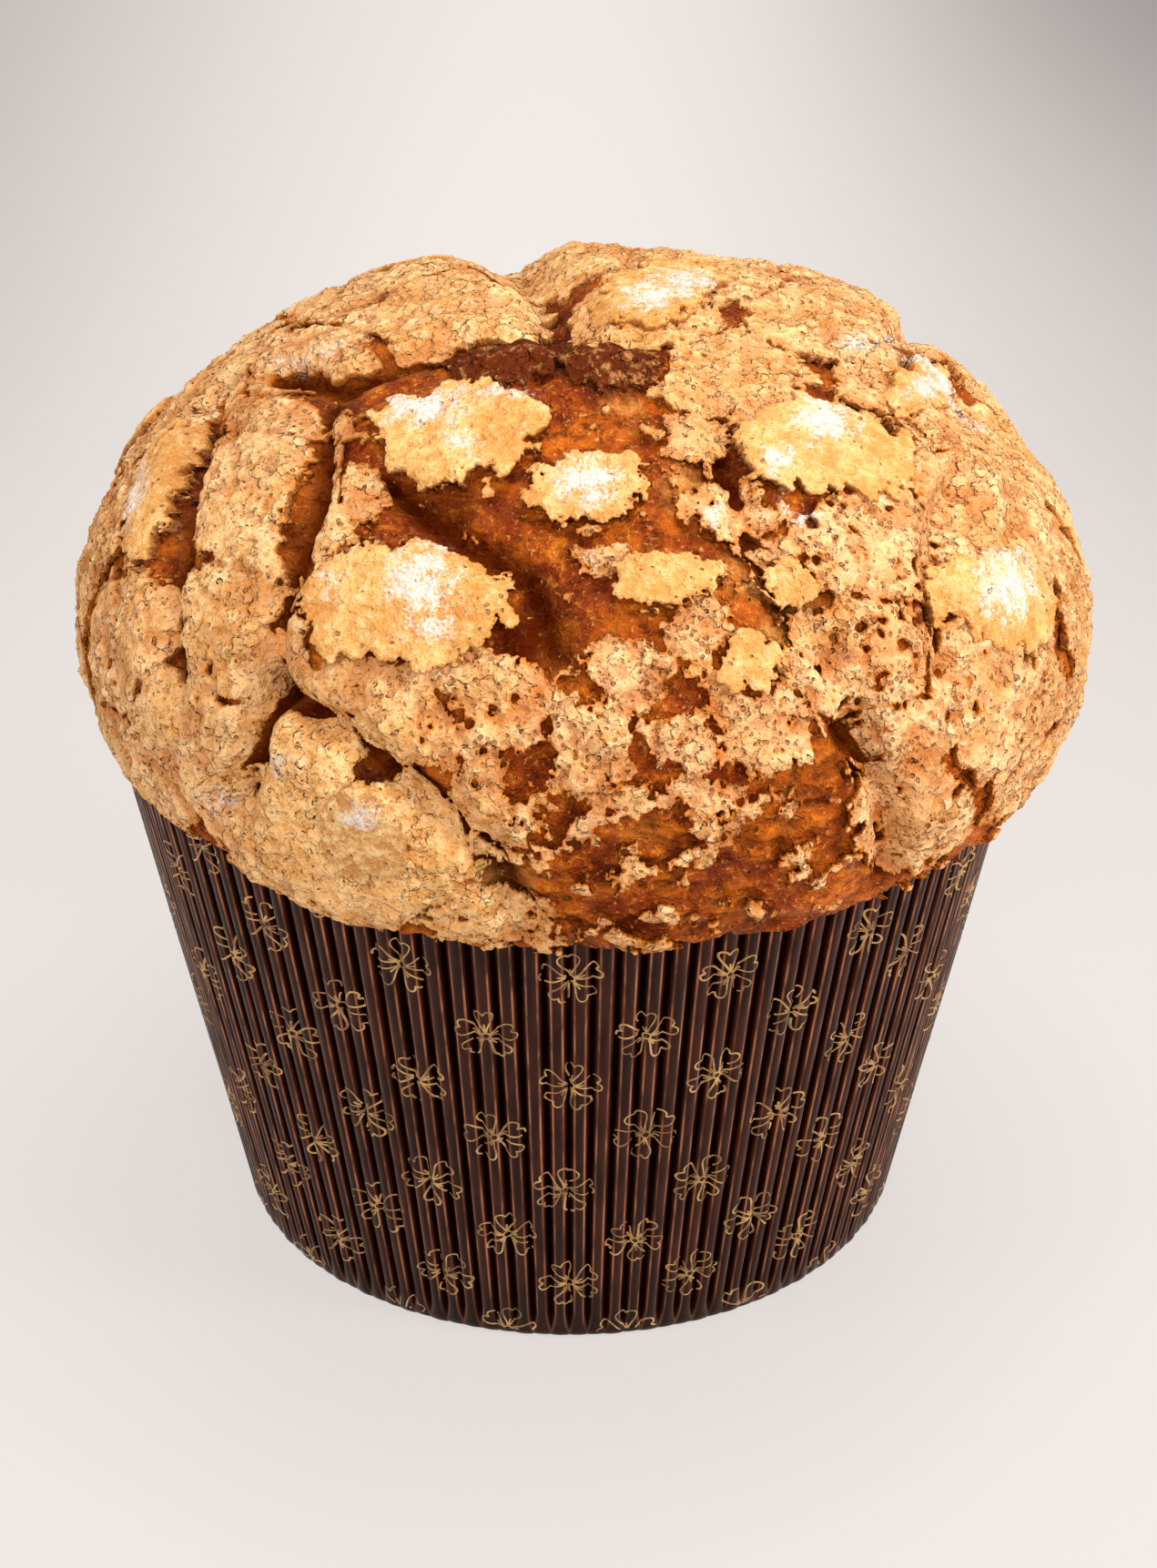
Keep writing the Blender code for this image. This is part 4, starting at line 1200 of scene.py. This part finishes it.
def add_print(material):
    """Gold line blossoms printed on the pleats, as thin ribbons that follow them."""
    draw = random.Random(PRINT_SEED)
    points, faces, count = [], [], 0
    slope = math.hypot(1.0, CASE_FLARE)
    for row in range(BLOSSOM_ROWS):
        for column in range(BLOSSOM_COLUMNS):
            z0 = 1.0 + BLOSSOM_RISE * row + draw.uniform(-1.0, 1.0)
            a0 = (column + 0.5 * (row % 2) + draw.uniform(-0.04, 0.04)) / BLOSSOM_COLUMNS
            for line in blossom_strokes(draw):
                flat = even_line(line)
                along = np.gradient(flat)
                across = 1j * along / np.abs(along)
                width = LINE_WIDTH * (0.75 + 0.5 * draw.random())
                sides = np.concatenate((flat + across * width / 2, flat - across * width / 2))
                z = z0 + sides.imag / slope
                radius = CASE_BASE_RADIUS + CASE_FLARE * z
                angle = a0 + sides.real / (2.0 * np.pi * radius)
                wall, depth = case_point(angle % 1.0, z)
                patchy = smooth_noise(np.stack((angle * 300.0, z / 1.5, np.full(len(z), 0.5)), -1))
                keep = (z >= BASE_ROUND) & (z <= CASE_HEIGHT - 1.0) & (depth + 0.35 * patchy < 1.05)
                wall[:, :2] *= (1.0 + LINE_LIFT / np.linalg.norm(wall[:, :2], axis=1))[:, None]
                n = len(flat)
                k = np.arange(n - 1)
                quads = np.stack((k, k + 1, k + 1 + n, k + n), -1)
                quads = quads[keep[quads].all(axis=1)]
                points.append(wall)
                faces.append(quads + count)
                count += 2 * n
    points, faces = np.concatenate(points), np.concatenate(faces)
    used, local = np.unique(faces, return_inverse=True)
    add_piece("gold_blossoms", points[used], local.reshape(-1, 4)[:, ::-1], material)


# ---- putting it together
# The glaze's pieces, by the azimuths of their plates, from and below.
GLAZE_PARTS = (("glaze_left", -180.0, -92.0), ("glaze_right", -92.0, 22.0),
               ("glaze_far_right", 22.0, 95.0), ("glaze_far_left", 95.0, 180.0))

add_dough(dough_material())

glaze_plates = {**PLATES, **back_plates()}
glaze_porous = openness(glaze_plates, POROUS_PAINT, POROUS_PAINT)
glaze_burnt = np.array([EMBERS.get(name, 0.0) for name in glaze_plates])
azimuths = [(plate[0] + 180.0) % 360.0 - 180.0 for plate in glaze_plates.values()]
glaze_parts = {name: [i for i, azimuth in enumerate(azimuths) if first <= azimuth < last]
               for name, first, last in GLAZE_PARTS}
glaze_field = plates_field(glaze_plates, GLAZE_THICKNESS, GLAZE_TOOTH, opened_glaze)
add_layer(glaze_parts, GLAZE_STEP, glaze_field, glaze_lift, glaze_shade, GLAZE_UNDERCUT, glaze_material())

flake_field = plates_field(FLAKES, FLAKE_THICKNESS, FLAKE_TOOTH)
flake_parts = {"flakes": range(len(FLAKES))}
add_layer(flake_parts, FLAKE_STEP, flake_field, flake_lift, flake_shade, FLAKE_UNDERCUT, flake_material())

add_case(paper_material())
add_print(print_material())

# ---- floor, lights and camera
FLOOR_REACH = 6.0
# painted light: the floor glows, filling the shadows on it, and pool_of_light paints a pool of light on it
# that fades towards its far corners
FLOOR_COLOUR = (0.13, 0.124, 0.12, 1.0)
FLOOR_GLOW = (0.76, 0.71, 0.68, 1.0)
FLOOR_GLOW_STRENGTH = 0.94
BLACK = (0.0, 0.0, 0.0, 1.0)
# Name, place, where it points, size in metres, power in watts, colour.
LIGHTS = (
    ("top", (0.10, 0.05, 1.10), (0.0, 0.0, 0.1), 0.6, 9.0, (1.0, 0.98, 0.95)),
    ("right", (0.85, -0.40, 0.50), (0.0, 0.0, 0.1), 0.4, 9.2, (1.0, 0.97, 0.93)),
    ("left", (-0.85, -0.40, 0.50), (0.0, 0.0, 0.1), 0.4, 3.6, (1.0, 0.97, 0.94)),
    ("front", (0.1, -1.3, 0.75), (0.0, 0.0, 0.12), 0.8, 11.0, (1.0, 0.97, 0.94)),
)
WORLD_COLOUR = (0.80, 0.77, 0.74, 1.0)
WORLD_STRENGTH = 0.42
CAMERA_PLACE = (0.0016576, -0.59666815, 0.39498843)
CAMERA_PITCH = 62.213
CAMERA_LENS, CAMERA_SENSOR = 83.56, 36.0


def pool_of_light(p):
    """How much painted light the floor gets: a pool of light that is less towards its far corners."""
    axes = p.node("SeparateXYZ")
    p.put(p.place, axes.inputs[0])
    across, along = axes.outputs[0], axes.outputs[1]
    side = p.math("DIVIDE", p.plus(across, 0.012), 0.20)
    side = p.times(p.times(side, side), p.span(along, 0.05, 0.50))
    fall = p.times(p.math("MINIMUM", side, 3.0), 0.5)
    corner = p.times(p.span(across, 0.04, 0.24), p.span(along, 0.40, 0.85, 0.0, 0.32))
    share = p.math("DIVIDE", p.lack(corner), p.plus(fall, 1.0))
    return p.times(share, p.span(along, 0.10, 0.50, 0.91, 1.0))


def add_floor():
    mesh = bpy.data.meshes.new("floor")
    r = FLOOR_REACH
    mesh.from_pydata([(-r, -r, 0), (r, -r, 0), (r, r, 0), (-r, r, 0)], [], [(0, 1, 2, 3)])
    floor = bpy.data.objects.new("floor", mesh)
    bpy.context.scene.collection.objects.link(floor)
    p = Paint("studio_floor")
    light = pool_of_light(p)
    p.set(Base_Color=p.mix(light, BLACK, FLOOR_COLOUR), Emission_Color=p.mix(light, BLACK, FLOOR_GLOW),
          Emission_Strength=FLOOR_GLOW_STRENGTH, Roughness=0.4)
    mesh.materials.append(p.material)


def add_light(name, place, aim, size, power, tint):
    lamp = bpy.data.lights.new(name, "AREA")
    lamp.shape, lamp.size, lamp.energy, lamp.color = "DISK", size, power, tint
    lamp_object = bpy.data.objects.new(name, lamp)
    lamp_object.location = place
    lamp_object.rotation_euler = (Vector(aim) - Vector(place)).to_track_quat("-Z", "Y").to_euler()
    bpy.context.scene.collection.objects.link(lamp_object)


add_floor()
for light in LIGHTS:
    add_light(*light)

world = bpy.data.worlds.new("studio")
world.use_nodes = True
world.node_tree.nodes["Background"].inputs["Color"].default_value = WORLD_COLOUR
world.node_tree.nodes["Background"].inputs["Strength"].default_value = WORLD_STRENGTH
bpy.context.scene.world = world
bpy.context.scene.view_settings.view_transform = "Standard"

camera_data = bpy.data.cameras.new("camera")
camera_data.lens, camera_data.sensor_width = CAMERA_LENS, CAMERA_SENSOR
camera = bpy.data.objects.new("camera", camera_data)
camera.location = CAMERA_PLACE
camera.rotation_euler = (math.radians(CAMERA_PITCH), 0.0, 0.0)
bpy.context.scene.collection.objects.link(camera)
bpy.context.scene.camera = camera
